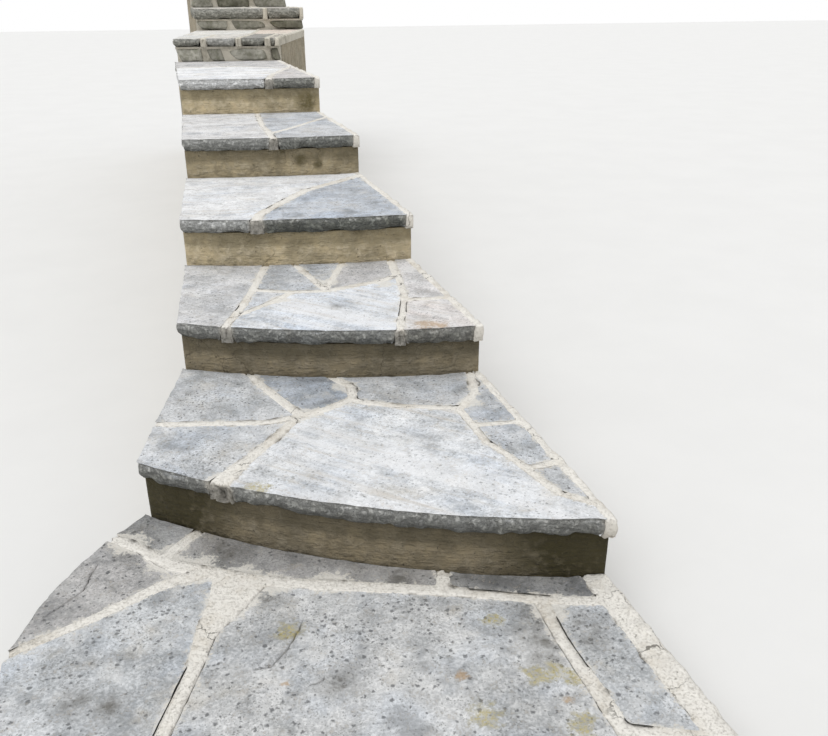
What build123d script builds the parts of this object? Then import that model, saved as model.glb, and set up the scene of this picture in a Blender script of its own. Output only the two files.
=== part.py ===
from build123d import *
import os
from math import asin, cos, radians, sin, sqrt

# Outdoor stone steps that climb beside a house wall.
# Sizes are in millimetres. X runs towards the house wall, Y up the flight, Z up.
# The drawing frame has the wall plane at X = 0, the ground at Z = 0, and Y = 0
# at the landing's kerb on the walking line. The last lines move everything so
# that the origin is in the middle of the base.

# Levels: each rise is the height from one tread up to the next
landing_height = 170.0
rises = [180.0, 170.0, 185.0, 180.0, 185.0, 150.0, 170.0, 170.0]

# Plan: each going is measured between riser faces on the walking line
walk_from_wall = 455.0
landing_going = 870.0
goings = [795.0, 725.0, 845.0, 905.0, 1380.0, 1450.0, 800.0, 700.0]

# Each front line is turned from square to the wall by its skew, in degrees, and
# bows outwards with its front radius. A radius of zero is a straight front.
landing_skew = 22.0
skews = [26.5, 18.0, 12.5, 9.5, 9.5, 7.5, 5.0, 5.0]
end_skew = 5.0
landing_radius = 4000.0
front_radii = [2500.0, 2100.0, 2900.0, 4600.0, 6750.0, 0.0, 0.0, 0.0]

# Distance from the wall plane to the free side at each riser, then at the end.
# The landing's side is straight at first, then an arc to the first riser.
side_distances = [1085.0, 935.0, 875.0, 805.0, 755.0, 710.0, 455.0, 435.0]
end_side_distance = 425.0
landing_side_distance = 1415.0
landing_straight_side = 620.0

# The house ends beside the sixth step, and the steps above it run on past the
# wall plane by this much
past_corner = 445.0
corner_step = 6

# Treads
flag_thickness = 58.0
nose_stone_thickness = 56.0
slab_thickness = 85.0
bed_thickness = 15.0
nosing = 35.0
side_nosing = 15.0
joint_width = 16.0
wall_joint = 22.0
landing_wall_joint = 62.0
pointing_depth = 4.0
pointing_set_back = 6.0

# Risers and ends
riser_thickness = 110.0
rubble_depth = 85.0
rubble_joint = 16.0
end_wall_thickness = 150.0

# How far a front line is drawn each side of the walking line
reach = 1400.0

first_rubble_step = 6
step_count = len(rises)

# Joints between the flags of each tread. A joint is a line of points: how far
# across from the free side to the wall, how far back from nosing to riser, and
# how many times the common joint width it measures there.
landing_joints = [
    [(-0.08, 0.82, 1.3), (0.03, 0.82, 1.3), (0.09, 0.79, 1.6), (0.27, 0.82, 1.8), (0.41, 0.86, 1.5)],
    [(0.40, 0.86, 1.5), (0.63, 0.90, 1.4), (0.88, 0.88, 1.3), (1.03, 0.88, 1.3)],
    [(0.08, 0.80, 1.3), (0.13, 1.03, 1.4)],
    [(0.63, 0.88, 1.3), (0.65, 1.03, 1.4)],
    [(0.17, 0.80, 2.4), (0.11, 0.71, 1.4), (0.03, 0.50, 1.0), (-0.04, 0.33, 1.0), (-0.12, 0.12, 1.1)],
    [(0.24, 0.82, 8.6), (0.23, 0.70, 5.4), (0.21, 0.58, 2.6), (0.21, 0.45, 1.7), (0.18, -0.03, 1.7)],
    [(0.82, 0.90, 1.7), (0.82, 0.72, 1.4), (0.83, 0.52, 1.7), (0.85, -0.03, 1.5)],
    [(0.83, 0.43, 1.5), (1.03, 0.38, 1.6)],
]
tread_joints = {
    1: [
        [(-0.03, 0.34, 1.0), (0.16, 0.48, 1.0), (0.28, 0.54, 1.0), (0.37, 0.62, 1.4)],
        [(0.20, 1.03, 1.0), (0.26, 0.87, 1.0), (0.37, 0.62, 1.2)],
        [(0.37, 0.62, 1.2), (0.45, 0.70, 1.0), (0.53, 0.79, 1.2)],
        [(0.46, 1.03, 1.1), (0.54, 0.90, 1.2), (0.53, 0.77, 1.2)],
        [(0.37, 0.64, 1.2), (0.30, 0.43, 1.2), (0.23, 0.21, 1.4), (0.165, -0.04, 3.4)],
        [(0.53, 0.77, 1.3), (0.66, 0.73, 0.9), (0.84, 0.70, 0.9)],
        [(0.84, 0.70, 0.9), (0.92, 0.82, 0.9), (0.97, 1.03, 1.1)],
        [(0.83, 0.72, 0.9), (0.84, 0.46, 0.9), (0.89, 0.29, 0.9)],
        [(0.88, 0.31, 0.9), (0.92, 0.14, 1.0), (1.04, 0.04, 1.2)],
        [(0.84, 0.57, 0.9), (1.03, 0.58, 0.9)],
        [(0.88, 0.28, 0.9), (1.03, 0.33, 0.9)],
    ],
    2: [
        [(0.35, 1.03, 1.0), (0.26, 0.55, 1.1), (0.21, 0.29, 1.2), (0.14, -0.03, 1.2)],
        [(0.26, 0.56, 1.0), (0.40, 0.53, 1.0), (0.54, 0.54, 1.1), (0.78, 0.66, 1.0), (0.87, 0.75, 1.0)],
        [(0.86, 0.73, 1.2), (0.90, 1.03, 1.4)],
        [(0.46, 1.03, 0.9), (0.54, 0.54, 1.0)],
        [(0.69, 1.03, 0.9), (0.54, 0.56, 0.9)],
        [(0.20, 0.18, 1.0), (0.31, 0.36, 1.0), (0.41, 0.53, 1.1)],
        [(0.87, 0.76, 1.0), (0.82, 0.43, 0.9), (0.77, 0.24, 0.9), (0.70, -0.03, 0.9)],
        [(0.80, 0.38, 0.8), (1.03, 0.36, 0.9)],
    ],
    3: [[(0.30, -0.03, 2.1), (0.35, 0.15, 2.0), (0.61, 0.60, 1.9), (0.87, 0.83, 1.8), (1.04, 0.96, 1.8)]],
    4: [
        [(0.50, -0.03, 1.4), (0.50, 0.20, 1.3), (0.49, 0.42, 1.0), (0.53, 1.03, 1.0)],
        [(0.50, 0.16, 1.2), (0.65, 0.32, 0.8), (0.87, 0.60, 0.8), (1.04, 0.80, 0.8)],
    ],
    5: [
        [(0.61, -0.03, 1.6), (0.71, 0.20, 1.0), (1.04, 0.70, 1.0)],
        [(-0.03, 0.60, 1.0), (0.40, 0.66, 1.0), (0.60, 0.62, 1.0), (0.90, 0.48, 1.0)],
    ],
    6: [
        [(0.27, -0.03, 1.3), (0.29, 0.40, 1.1), (-0.03, 0.43, 1.1)],
        [(0.60, -0.03, 1.3), (0.62, 0.46, 1.1), (0.29, 0.40, 1.1)],
        [(0.88, -0.03, 1.3), (0.86, 0.42, 1.1), (0.62, 0.46, 1.1)],
        [(0.62, 0.46, 1.1), (0.57, 1.03, 1.1)],
        [(0.86, 0.42, 1.1), (1.03, 0.38, 1.1)],
    ],
    7: [[(0.64, -0.03, 1.1), (0.60, 1.03, 1.1)], [(0.62, 0.50, 1.1), (-0.03, 0.44, 1.1)]],
    8: [[(0.58, -0.03, 1.1), (0.55, 1.03, 1.1)], [(0.56, 0.55, 1.1), (1.03, 0.60, 1.1)]],
}

# Rubble risers: the height share of the lower course, then the joints of the
# lower and of the upper course as shares of the width from the free side
rubble_courses = {
    6: (0.40, [0.36, 0.72], [0.28, 0.49, 0.90]),
    7: (0.50, [0.48, 0.80], [0.30, 0.66]),
    8: (0.50, [0.34, 0.66], [0.25, 0.62]),
}

# Worked out: one entry per front line, from the landing's kerb to the far end
levels = [landing_height]
for rise in rises:
    levels.append(levels[-1] + rise)
front_ys = [0.0]
for going in [landing_going] + goings:
    front_ys.append(front_ys[-1] + going)
line_skews = [landing_skew] + skews + [end_skew]
line_radii = [landing_radius] + front_radii + [0.0]
side_xs = [-landing_side_distance] + [-d for d in side_distances] + [-end_side_distance]
last_line = step_count + 1


def flag_depth(step):
    """Thickness of a step's flags."""
    if step > first_rubble_step:
        return slab_thickness
    return nose_stone_thickness if step == first_rubble_step else flag_thickness


def seat_level(step):
    """Top of the masonry that a step's mortar bed lies on."""
    return levels[step] - flag_depth(step) - bed_thickness


def along(line):
    """Direction of a front line towards the wall."""
    turn = radians(line_skews[line])
    return Vector(cos(turn), -sin(turn))


def uphill(line):
    """Direction square to a front line, up the flight."""
    turn = radians(line_skews[line])
    return Vector(sin(turn), cos(turn))


def foot(line, set_back=0.0):
    """Where a front line, set back by some distance, crosses the walking line."""
    return Vector(-walk_from_wall, front_ys[line]) + uphill(line) * set_back


def front_y(line, x):
    """How far up the flight a front line lies at some distance from the wall."""
    base, turn, radius = foot(line), radians(line_skews[line]), line_radii[line]
    if radius == 0:
        return base.Y - (x - base.X) * sin(turn) / cos(turn)
    centre = base + uphill(line) * radius
    return centre.Y - sqrt(radius**2 - (x - centre.X) ** 2)


def uphill_face(line, set_back):
    """Everything behind a front line, up the flight, as one flat face."""
    middle = foot(line, set_back)
    if line_radii[line] == 0:
        start, end = middle - along(line) * reach, middle + along(line) * reach
        front = Line(start, end)
    else:
        radius = line_radii[line] - set_back
        bow = uphill(line) * (radius - sqrt(radius**2 - reach**2))
        start, end = middle - along(line) * reach + bow, middle + along(line) * reach + bow
        front = ThreePointArc(start, middle, end)
    far = front_ys[-1] + reach
    rest = Polyline(end, Vector(end.X, far), Vector(start.X, far), start)
    return make_face(Curve() + [front, rest])


def side_corner(line, out=0.0):
    """Where a front line meets the free side."""
    return Vector(side_xs[line] - out, front_y(line, side_xs[line]))


def wall_x(line):
    """The wall plane, or the end of the wider steps past the house corner."""
    return past_corner if line > corner_step else 0.0


def wall_corner(line, inside=0.0):
    """Where a front line meets the wall side."""
    return Vector(wall_x(line) - inside, front_y(line, wall_x(line)))


def flight_outline(out=0.0, inside=0.0):
    """Plan of the steps above the landing, with the free side moved out."""
    lead = Vector(0, -2 * riser_thickness)
    free = [side_corner(line, out) for line in range(1, last_line + 1)]
    wall = [wall_corner(line, inside) for line in range(1, last_line + 1)]
    free_start = free[0] + (free[0] - free[1]).normalized() * 2 * riser_thickness
    points = [free_start] + free + wall[::-1] + [wall[0] + lead, free_start]
    return make_face(Polyline(*points))


def landing_outline(out=0.0, inside=0.0):
    """Plan of the landing, whose free end is rounded towards the first riser."""
    heel = side_corner(1, out)
    flank = Vector(-landing_side_distance - out, landing_straight_side)
    front, back = -reach, front_ys[1] + reach
    sides = [
        TangentArc(flank, heel, tangent=Vector(0, 1)),
        Polyline(heel, side_corner(2, out), Vector(-inside, back)),
        Polyline(Vector(-inside, back), Vector(-inside, front), Vector(flank.X, front), flank),
    ]
    return make_face(Curve() + sides)


def region(step, from_line, to_line, out=0.0, inside=0.0):
    """Plan of a step between its own front line and the next, each set back."""
    outline = landing_outline(out, inside) if step == 0 else flight_outline(out, inside)
    return outline & uphill_face(step, from_line) - uphill_face(step + 1, to_line)


def tread_point(step, across, back):
    """A point of a tread, from shares of its width and of its depth."""
    free_x = side_xs[step] * (1 - back) + side_corner(step + 1).X * back
    wall_side_x = wall_x(step) * (1 - back) + wall_x(step + 1) * back
    x = free_x * (1 - across) + wall_side_x * across
    y = (front_y(step, x) - nosing) * (1 - back) + front_y(step + 1, x) * back
    return Vector(x, y)


def joint_band(step, joint):
    """One joint as a flat band, from its centre line and its widths."""
    points = [tread_point(step, across, back) for across, back, widths in joint]
    left, right = [], []
    for k, point in enumerate(points):
        before, after = points[max(k - 1, 0)], points[min(k + 1, len(points) - 1)]
        course = (after - before).normalized()
        half = Vector(-course.Y, course.X) * (joint[k][2] * joint_width / 2)
        left.append(point + half)
        right.append(point - half)
    return make_face(Polyline(*left, *right[::-1], left[0]))


def joint_pattern(step):
    """All the joints of a tread as one sketch."""
    bands = [joint_band(step, joint) for joint in (tread_joints[step] if step else landing_joints)]
    pattern = bands[0]
    for band in bands[1:]:
        pattern += band
    return pattern


def upright(face, bottom, top):
    """A plan raised into a solid between two levels."""
    return Pos(0, 0, bottom) * extrude(face, top - bottom, dir=(0, 0, 1))


def flags(step):
    """The flags of a tread: its slab, divided by the joints."""
    inside = wall_joint if step else landing_wall_joint
    slab = region(step, -nosing, 0, side_nosing, inside)
    return upright(slab - joint_pattern(step), levels[step] - flag_depth(step), levels[step])


def mortar(step):
    """The bed under the flags, and the pointing between them and at the wall."""
    inside = wall_joint if step else landing_wall_joint
    flag_bottom = levels[step] - flag_depth(step)
    field = region(step, pointing_set_back - nosing, 0, side_nosing - pointing_set_back)
    slab = region(step, -nosing, 0, side_nosing, inside)
    pointed = field - (slab - joint_pattern(step))
    pointing = upright(pointed, flag_bottom, levels[step] - pointing_depth)
    bed = upright(region(step, 0, 0), flag_bottom - bed_thickness, flag_bottom)
    return bed + pointing


def riser_strip(step, front, back):
    """Plan of a strip of riser between two distances behind its face."""
    outline = landing_outline() if step == 0 else flight_outline()
    return outline & uphill_face(step, front) - uphill_face(step, back)


def riser_foot(step):
    """Level that a riser stands on."""
    return seat_level(step - 1) if step else 0.0


def riser(step):
    """A rendered riser, standing on the masonry below."""
    return upright(riser_strip(step, 0, riser_thickness), riser_foot(step), seat_level(step))


def core(step):
    """The masonry under a tread, down to the ground."""
    back = -end_wall_thickness if step == step_count else riser_thickness
    return upright(region(step, riser_thickness, back), 0, seat_level(step))


def rubble_slots(step):
    """The mortar joints of a rubble riser, as slabs that cut it into stones."""
    lower_share, lower_joints, upper_joints = rubble_courses[step]
    bottom, top = riser_foot(step), seat_level(step)
    middle = bottom + (top - bottom) * lower_share
    free, wall = side_corner(step), wall_corner(step)
    long = 2 * reach
    slots = Pos(foot(step)) * Pos(0, 0, middle) * Rot(0, 0, -line_skews[step])
    pieces = [slots * Box(long, 4 * rubble_depth, rubble_joint)]
    for joints, low, high in ((lower_joints, bottom, middle), (upper_joints, middle, top)):
        for share in joints:
            place = free + (wall - free) * share
            turned = Pos(place.X, place.Y, low) * Rot(0, 0, -line_skews[step])
            slot = Box(rubble_joint, 4 * rubble_depth, high - low)
            pieces.append(turned * Pos(0, 0, (high - low) / 2) * slot)
    cutter = pieces[0]
    for piece in pieces[1:]:
        cutter += piece
    return cutter


def rubble_stones(step):
    """The stones of a rubble riser, in two courses."""
    face = upright(riser_strip(step, 0, rubble_depth), riser_foot(step), seat_level(step))
    return face - rubble_slots(step)


def rubble_mortar(step):
    """The mortar round the stones of a rubble riser and behind them."""
    strip = riser_strip(step, pointing_set_back, riser_thickness)
    return upright(strip, riser_foot(step), seat_level(step)) - rubble_stones(step)


def end_wall():
    """The wall that closes the top of the flight."""
    strip = flight_outline() & uphill_face(last_line, -end_wall_thickness) - uphill_face(last_line, 0)
    return upright(strip, 0, seat_level(step_count))


pieces = {}
for step in range(step_count + 1):
    name = f"step_{step}" if step else "landing"
    pieces[f"{name}_flags"] = flags(step)
    pieces[f"{name}_mortar"] = mortar(step)
    pieces[f"{name}_core"] = core(step)
    if step >= first_rubble_step:
        pieces[f"{name}_riser_stones"] = rubble_stones(step)
        pieces[f"{name}_riser_mortar"] = rubble_mortar(step)
    else:
        pieces[f"{name}_riser"] = riser(step)
pieces["end_wall"] = end_wall()

# The origin goes to the middle of the base
solids = [solid for piece in pieces.values() for solid in piece.solids()]
box = Compound(solids).bounding_box()
to_origin = Pos(-(box.min.X + box.max.X) / 2, -(box.min.Y + box.max.Y) / 2, -box.min.Z)
os.makedirs("parts", exist_ok=True)
for name, piece in pieces.items():
    export_step(to_origin * piece, f"parts/{name}.step")
print("size", box.size, "moved by", to_origin.position)
print("solid volume in cubic metres", sum(piece.volume for piece in pieces.values()) / 1e9)
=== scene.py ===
# %% [markdown]
# # Outdoor stone steps
# A flight of stone steps fans out at its foot like a winding stair. Split flags of
# all shapes are bedded in sandy mortar, over risers of ochre render below and of
# rubble above. This lesson dresses the exact CAD solids: it keeps their places
# and sizes, and gives each stone its worn edges, its riven surface and its colour.

# %% Load the exact model as a fixed frame
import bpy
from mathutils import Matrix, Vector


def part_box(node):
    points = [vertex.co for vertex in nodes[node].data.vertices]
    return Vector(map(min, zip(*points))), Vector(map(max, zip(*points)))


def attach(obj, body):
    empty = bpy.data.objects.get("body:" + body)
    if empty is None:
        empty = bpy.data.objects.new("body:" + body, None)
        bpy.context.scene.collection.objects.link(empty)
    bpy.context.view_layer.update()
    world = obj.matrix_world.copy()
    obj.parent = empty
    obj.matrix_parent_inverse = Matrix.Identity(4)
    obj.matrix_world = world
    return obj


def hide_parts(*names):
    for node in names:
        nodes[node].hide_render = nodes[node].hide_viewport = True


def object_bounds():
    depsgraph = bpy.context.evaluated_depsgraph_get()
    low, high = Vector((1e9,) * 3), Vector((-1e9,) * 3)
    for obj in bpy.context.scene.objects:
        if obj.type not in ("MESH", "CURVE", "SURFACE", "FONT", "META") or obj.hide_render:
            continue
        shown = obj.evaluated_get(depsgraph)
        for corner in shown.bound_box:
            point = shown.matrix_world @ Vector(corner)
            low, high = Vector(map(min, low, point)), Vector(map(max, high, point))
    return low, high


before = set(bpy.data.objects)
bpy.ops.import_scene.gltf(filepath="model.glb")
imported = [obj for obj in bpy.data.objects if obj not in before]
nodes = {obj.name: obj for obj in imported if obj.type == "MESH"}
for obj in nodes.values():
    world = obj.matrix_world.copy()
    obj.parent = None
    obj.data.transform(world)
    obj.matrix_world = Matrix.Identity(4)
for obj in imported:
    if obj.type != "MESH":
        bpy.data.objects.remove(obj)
cad_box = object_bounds()
print("CAD nodes:", len(nodes), "box in metres:", cad_box)

# %% Modules
from math import cos, floor, radians, sin

import bmesh
import bpy
import numpy as np
from mathutils import Matrix, Vector, geometry, kdtree, noise
from mathutils.bvhtree import BVHTree

scene = bpy.context.scene
scene.view_settings.view_transform = "Standard"
print("view transform:", scene.view_settings.view_transform)

# %% [markdown]
# ## The camera
# The steps are seen from eye height, just in front of the landing and a little left of
# the middle, looking up the flight and down at the stones. A wide lens makes the landing
# large and the top steps small, which a long lens further away would not. The lens and
# the angles come from straight lines of known direction, such as the edges of the treads
# and risers.

# %% Camera
picture_width = 828
focal_length_in_pixels = 829.0
camera_data = bpy.data.cameras.new("camera")
camera_data.sensor_width = 36.0
camera_data.lens = camera_data.sensor_width * focal_length_in_pixels / picture_width
camera = bpy.data.objects.new("camera", camera_data)
scene.collection.objects.link(camera)
eye = Vector((-0.4625, -4.9023, 1.485))
turn_left, tilt_down, roll = 17.28, 24.22, -0.21
camera.matrix_world = (
    Matrix.Translation(eye)
    @ Matrix.Rotation(radians(-turn_left), 4, "Z")
    @ Matrix.Rotation(radians(90 - tilt_down), 4, "X")
    @ Matrix.Rotation(radians(roll), 4, "Z")
)
scene.camera = camera
print("lens in millimetres:", round(camera_data.lens, 2))

# %% [markdown]
# ## Helpers for shader nodes
# A procedural material is a small network of nodes. Writing each node out takes four or
# five lines, so short helpers do it. A socket knows which tree it belongs to, so most of
# them need only sockets and numbers: a socket is linked, and a number is set.


# %% Put a node into a tree
def put(tree, kind, inputs=None, **settings):
    """Adds a shader node, sets its options, and links or sets its inputs."""
    node = tree.nodes.new("ShaderNode" + kind)
    node.location = (190 * (len(tree.nodes) % 12), -260 * (len(tree.nodes) // 12))
    for option, value in settings.items():
        setattr(node, option, value)
    for socket, value in (inputs or {}).items():
        if isinstance(value, bpy.types.NodeSocket):
            tree.links.new(value, node.inputs[socket])
        else:
            node.inputs[socket].default_value = value
    return node


def owner(*values):
    """The tree of the first socket among some values."""
    return next(value.id_data for value in values if isinstance(value, bpy.types.NodeSocket))


def join(value, socket):
    """Links an output to an input."""
    owner(value).links.new(value, socket)


# %% Arithmetic with sockets
def calc(operation, first, second=0.0, clamp=False):
    """One step of arithmetic on two values."""
    inputs = {0: first, 1: second}
    return put(owner(first, second), "Math", inputs, operation=operation, use_clamp=clamp).outputs[0]


def times(first, second, clamp=False):
    """Two values multiplied."""
    return calc("MULTIPLY", first, second, clamp)


def plus(first, second, clamp=False):
    """Two values added."""
    return calc("ADD", first, second, clamp)


def minus(first, second, clamp=False):
    """The second value taken from the first."""
    return calc("SUBTRACT", first, second, clamp)


def scaled(value, factor, start):
    """A value times a factor, counted from a start."""
    return plus(times(value, factor), start)


def between(value, low, high):
    """0 below low, 1 above high, and a soft curve between them."""
    inputs = {"Value": value, "From Min": low, "From Max": high}
    return put(owner(value), "MapRange", inputs, interpolation_type="SMOOTHSTEP").outputs["Result"]


# %% Colours
def rgb(red, green, blue):
    """A colour as the four numbers that a socket takes."""
    return (red, green, blue, 1.0)


def blend(share, under, over, mode="MIX"):
    """Lays one colour over another by a share from 0 to 1."""
    inputs = {0: share, 6: under, 7: over}
    return put(owner(share, under, over), "Mix", inputs, data_type="RGBA", blend_type=mode).outputs[2]


def laid_over(colour, mask, amount, paint):
    """Lays a paint over a colour where a mask lets it through, by no more than an amount."""
    return blend(times(mask, amount), colour, rgb(*paint))


def brightened(colour, level):
    """Multiplies a colour by one value, which makes it lighter or darker and keeps its hue."""
    grey = put(owner(level), "CombineColor", {0: level, 1: level, 2: level}).outputs[0]
    return blend(1.0, colour, grey, "MULTIPLY")


# %% Places and clouds
def clouds(place, scale, detail, roughness=0.5):
    """Blender's noise texture: soft clouds that get finer with more detail."""
    inputs = {"Vector": place, "Scale": scale, "Detail": detail, "Roughness": roughness}
    return put(owner(place), "TexNoise", inputs).outputs


def shaken(place, scale, detail, amount):
    """A place moved a little by noise, which makes smooth cells ragged."""
    stray = clouds(place, scale, detail)["Color"]
    shift = put(owner(place), "VectorMath", {0: stray, 1: (amount,) * 3}, operation="MULTIPLY")
    return put(owner(place), "VectorMath", {0: place, 1: shift.outputs[0]}, operation="ADD").outputs[0]


def drawn_out(place, x, y, z):
    """A place with each axis scaled by itself, which stretches the pattern that is laid on it."""
    scales = put(owner(place), "CombineXYZ", {"X": x, "Y": y, "Z": z}).outputs[0]
    return put(owner(place), "VectorMath", {0: place, 1: scales}, operation="MULTIPLY").outputs[0]


# %% [markdown]
# ## Effects that several materials share
# Stone, mortar and render weather in the same few ways: they have a fine grain, they
# split in thin layers, they grow round spots of lichen, and damp leaves soft stains. Each
# effect is a node group that is built once. A group gives out only masks and heights,
# so that each material can colour the same effect in its own way.


# %% Helpers that start a group and place it
def new_group(name, inputs, outputs):
    """A shader node group with named sockets. Returns its tree and its two ends."""
    tree = bpy.data.node_groups.new(name, "ShaderNodeTree")
    for socket, value in inputs.items():
        kind = "NodeSocketVector" if value is None else "NodeSocketFloat"
        made = tree.interface.new_socket(socket, in_out="INPUT", socket_type=kind)
        if value is not None:
            made.default_value = value
    for socket in outputs:
        tree.interface.new_socket(socket, in_out="OUTPUT", socket_type="NodeSocketFloat")
    print("group:", name)
    return tree, tree.nodes.new("NodeGroupInput").outputs, tree.nodes.new("NodeGroupOutput").inputs


def place_group(group, place, **values):
    """Puts a group into a material with its own values. Returns its outputs."""
    return put(owner(place), "Group", {"Vector": place, **values}, node_tree=group).outputs


# %% Mottle: soft patches with a chosen contrast
mottle, given, result = new_group(
    "mottle", {"Vector": None, "Scale": 8.0, "Low": 0.4, "High": 0.6}, ["Value"]
)
cloud = clouds(given["Vector"], given["Scale"], 7.0, 0.62)["Fac"]
join(between(cloud, given["Low"], given["High"]), result["Value"])

# %% Riven layers: the low ledges where thin layers of stone broke off
riven, given, result = new_group(
    "riven layers", {"Vector": None, "Scale": 4.0, "Layers": 9.0}, ["Height", "Edge"]
)
stacked = times(clouds(given["Vector"], given["Scale"], 5.0, 0.55)["Fac"], given["Layers"])
ledge = between(calc("FRACT", stacked), 0.86, 1.0)
height = plus(calc("FLOOR", stacked), ledge)
join(calc("DIVIDE", height, given["Layers"]), result["Height"])
join(times(times(ledge, minus(1.0, ledge)), 4.0), result["Edge"])

# %% Lichen: round spots of different sizes, gathered in places
lichen, given, result = new_group(
    "lichen", {"Vector": None, "Scale": 70.0, "Radius": 0.35, "Cover": 0.5, "Gather": 5.0}, ["Mask"]
)
ragged = shaken(given["Vector"], 160.0, 3.0, 0.012)
cells = put(lichen, "TexVoronoi", {"Vector": ragged, "Scale": given["Scale"], "Randomness": 1.0})
chance = put(lichen, "SeparateColor", {0: cells.outputs["Color"]}).outputs
reach = times(plus(chance["Red"], 0.35), given["Radius"])
spot = minus(1.0, between(cells.outputs["Distance"], times(reach, 0.4), reach))
crowd = clouds(given["Vector"], given["Gather"], 4.0, 0.6)["Fac"]
level = times(scaled(crowd, 1.6, -0.3), given["Cover"])
grown = calc("GREATER_THAN", level, times(chance["Green"], 0.999))
join(times(spot, grown), result["Mask"])

# %% Grain: sand in mortar and render, crystals in stone
grain, given, result = new_group("grain", {"Vector": None, "Scale": 500.0}, ["Height", "Specks"])
sand = clouds(given["Vector"], given["Scale"], 3.0, 0.7)["Fac"]
grit = put(grain, "TexVoronoi", {"Vector": given["Vector"], "Scale": times(given["Scale"], 0.35)})
join(plus(sand, times(grit.outputs["Distance"], 0.6)), result["Height"])
join(between(sand, 0.6, 0.75), result["Specks"])

# %% Hairlines: thin cracks around wandering cells, here and there
hairlines, given, result = new_group(
    "hairlines", {"Vector": None, "Scale": 7.0, "Width": 0.012, "Cover": 0.5}, ["Mask"]
)
wandering = shaken(given["Vector"], 30.0, 4.0, 0.05)
net = put(hairlines, "TexVoronoi", {"Vector": wandering, "Scale": given["Scale"]}, feature="DISTANCE_TO_EDGE")
line = calc("LESS_THAN", net.outputs["Distance"], given["Width"])
crowd = clouds(given["Vector"], 3.7, 2.0)["Fac"]
open_here = between(minus(plus(crowd, given["Cover"]), 1.0), 0.0, 0.08)
join(times(line, open_here), result["Mask"])

# %% Bands: long streaks of the bedding, turned to lie along one direction
bands, given, result = new_group(
    "bands", {"Vector": None, "Angle": 0.0, "Along": 3.0, "Across": 30.0, "Low": 0.5, "High": 0.7}, ["Value"]
)
turning = {"Vector": given["Vector"], "Angle": given["Angle"]}
turned = put(bands, "VectorRotate", turning, rotation_type="Z_AXIS")
drawn = drawn_out(turned.outputs[0], given["Along"], given["Across"], given["Along"])
join(between(clouds(drawn, 1.0, 7.0, 0.65)["Fac"], given["Low"], given["High"]), result["Value"])

# %% Runs: stains that water draws down a face, or layers that lie in it
runs, given, result = new_group(
    "runs", {"Vector": None, "Across": 20.0, "Down": 4.0, "Low": 0.45, "High": 0.65}, ["Value"]
)
drawn = drawn_out(given["Vector"], given["Across"], given["Across"], given["Down"])
join(between(clouds(drawn, 1.0, 6.0, 0.6)["Fac"], given["Low"], given["High"]), result["Value"])


# %% Two of the groups in a few words
def patchy(place, scale, low, high):
    """Mottle: how many patches to the metre, and the levels between which they fade in."""
    return place_group(mottle, place, Scale=scale, Low=low, High=high)["Value"]


def streaky(place, across, down, low, high):
    """Runs: how many to the metre across and down, and the levels between which they fade in."""
    return place_group(runs, place, Across=across, Down=down, Low=low, High=high)["Value"]


# %% [markdown]
# ## Materials
# Each material starts the same way: a Principled shader, the object's own coordinates
# in metres, and the surface's direction. Faces that look up are trodden and washed by
# rain, and faces that stand are darker, so most materials ask which way they look. The
# points of a piece also carry values of their own, such as how dirty the stone is there.


# %% Helpers that start and finish a material
def new_material(name):
    """A material, its shader, its coordinates, and how far its surface looks up."""
    material = bpy.data.materials.new(name)
    material.use_nodes = True
    tree = material.node_tree
    place = put(tree, "TexCoord").outputs["Object"]
    facing = put(tree, "SeparateXYZ", {0: put(tree, "NewGeometry").outputs["Normal"]})
    print("material:", name)
    return material, tree.nodes["Principled BSDF"], place, facing.outputs["Z"]


def carried(place, *names):
    """Values that the points of a piece carry."""
    return [put(owner(place), "Attribute", attribute_name=name).outputs["Fac"] for name in names]


def finish_surface(shader, colour, roughness, height, depth):
    """Links the colour, the roughness and the relief, whose depth is in metres."""
    join(colour, shader.inputs["Base Color"])
    join(roughness, shader.inputs["Roughness"])
    bump = put(owner(height), "Bump", {"Height": height, "Distance": depth, "Strength": 1.0})
    join(bump.outputs["Normal"], shader.inputs["Normal"])


# %% [markdown]
# ### Split stone flags
# The flags are split from layered grey sandstone. Their tops are grey with paler bloom,
# faint blue, pink and rusty tints, low ledges edged with painted shade, and dark round
# lichen that crowds on the landing. Their edges are rough, darker and brown, with pale
# streaks along the layers, painted shade lower down and a painted highlight at the top.
# One recipe makes all four kinds, from the dark landing to the mossy top steps. Each
# stone carries its tone and tint, which set it apart from its neighbours, and how pale
# its sides are. Its points carry how near they are to lichen spots (spots), yellow crust
# (yellow), rust (rust), dirt with painted shade in cracks and by the next riser, and
# smeared mortar (smear), and how far down the side they lie (under). The recipe is long,
# so it is cut into five coats, each laid over the one before.


# %% First coat: the stone itself, its tints and its soft patches
def stone_body(place, dark, light, tint, crowded, fine, coarse, specks):
    """The colour of a freshly split top. Darker stones are crowded with darker patches."""
    share = plus(times(patchy(place, 9.0, 0.37, 0.63), 0.42), times(coarse, 0.22))
    share = plus(share, times(fine, 0.36))
    colour = blend(share, rgb(*dark), rgb(*light))
    colour = laid_over(colour, specks, 0.55, (0.24, 0.25, 0.26))
    cool = plus(times(tint, 0.8), times(patchy(place, 5.3, 0.46, 0.66), 0.4), clamp=True)
    warm = times(tint, -1.0, clamp=True)
    colour = blend(cool, colour, rgb(0.80, 0.88, 1.0), "MULTIPLY")
    colour = blend(warm, colour, rgb(1.0, 0.86, 0.78), "MULTIPLY")
    colour = laid_over(colour, patchy(place, 6.1, 0.54, 0.74), 0.4, (0.62, 0.55, 0.43))
    colour = laid_over(colour, patchy(place, 14.0, 0.5, 0.68), 0.45, (0.88, 0.88, 0.87))
    return laid_over(colour, patchy(place, 10.5, 0.5, 0.7), times(crowded, 0.65), (0.23, 0.24, 0.25))


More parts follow.
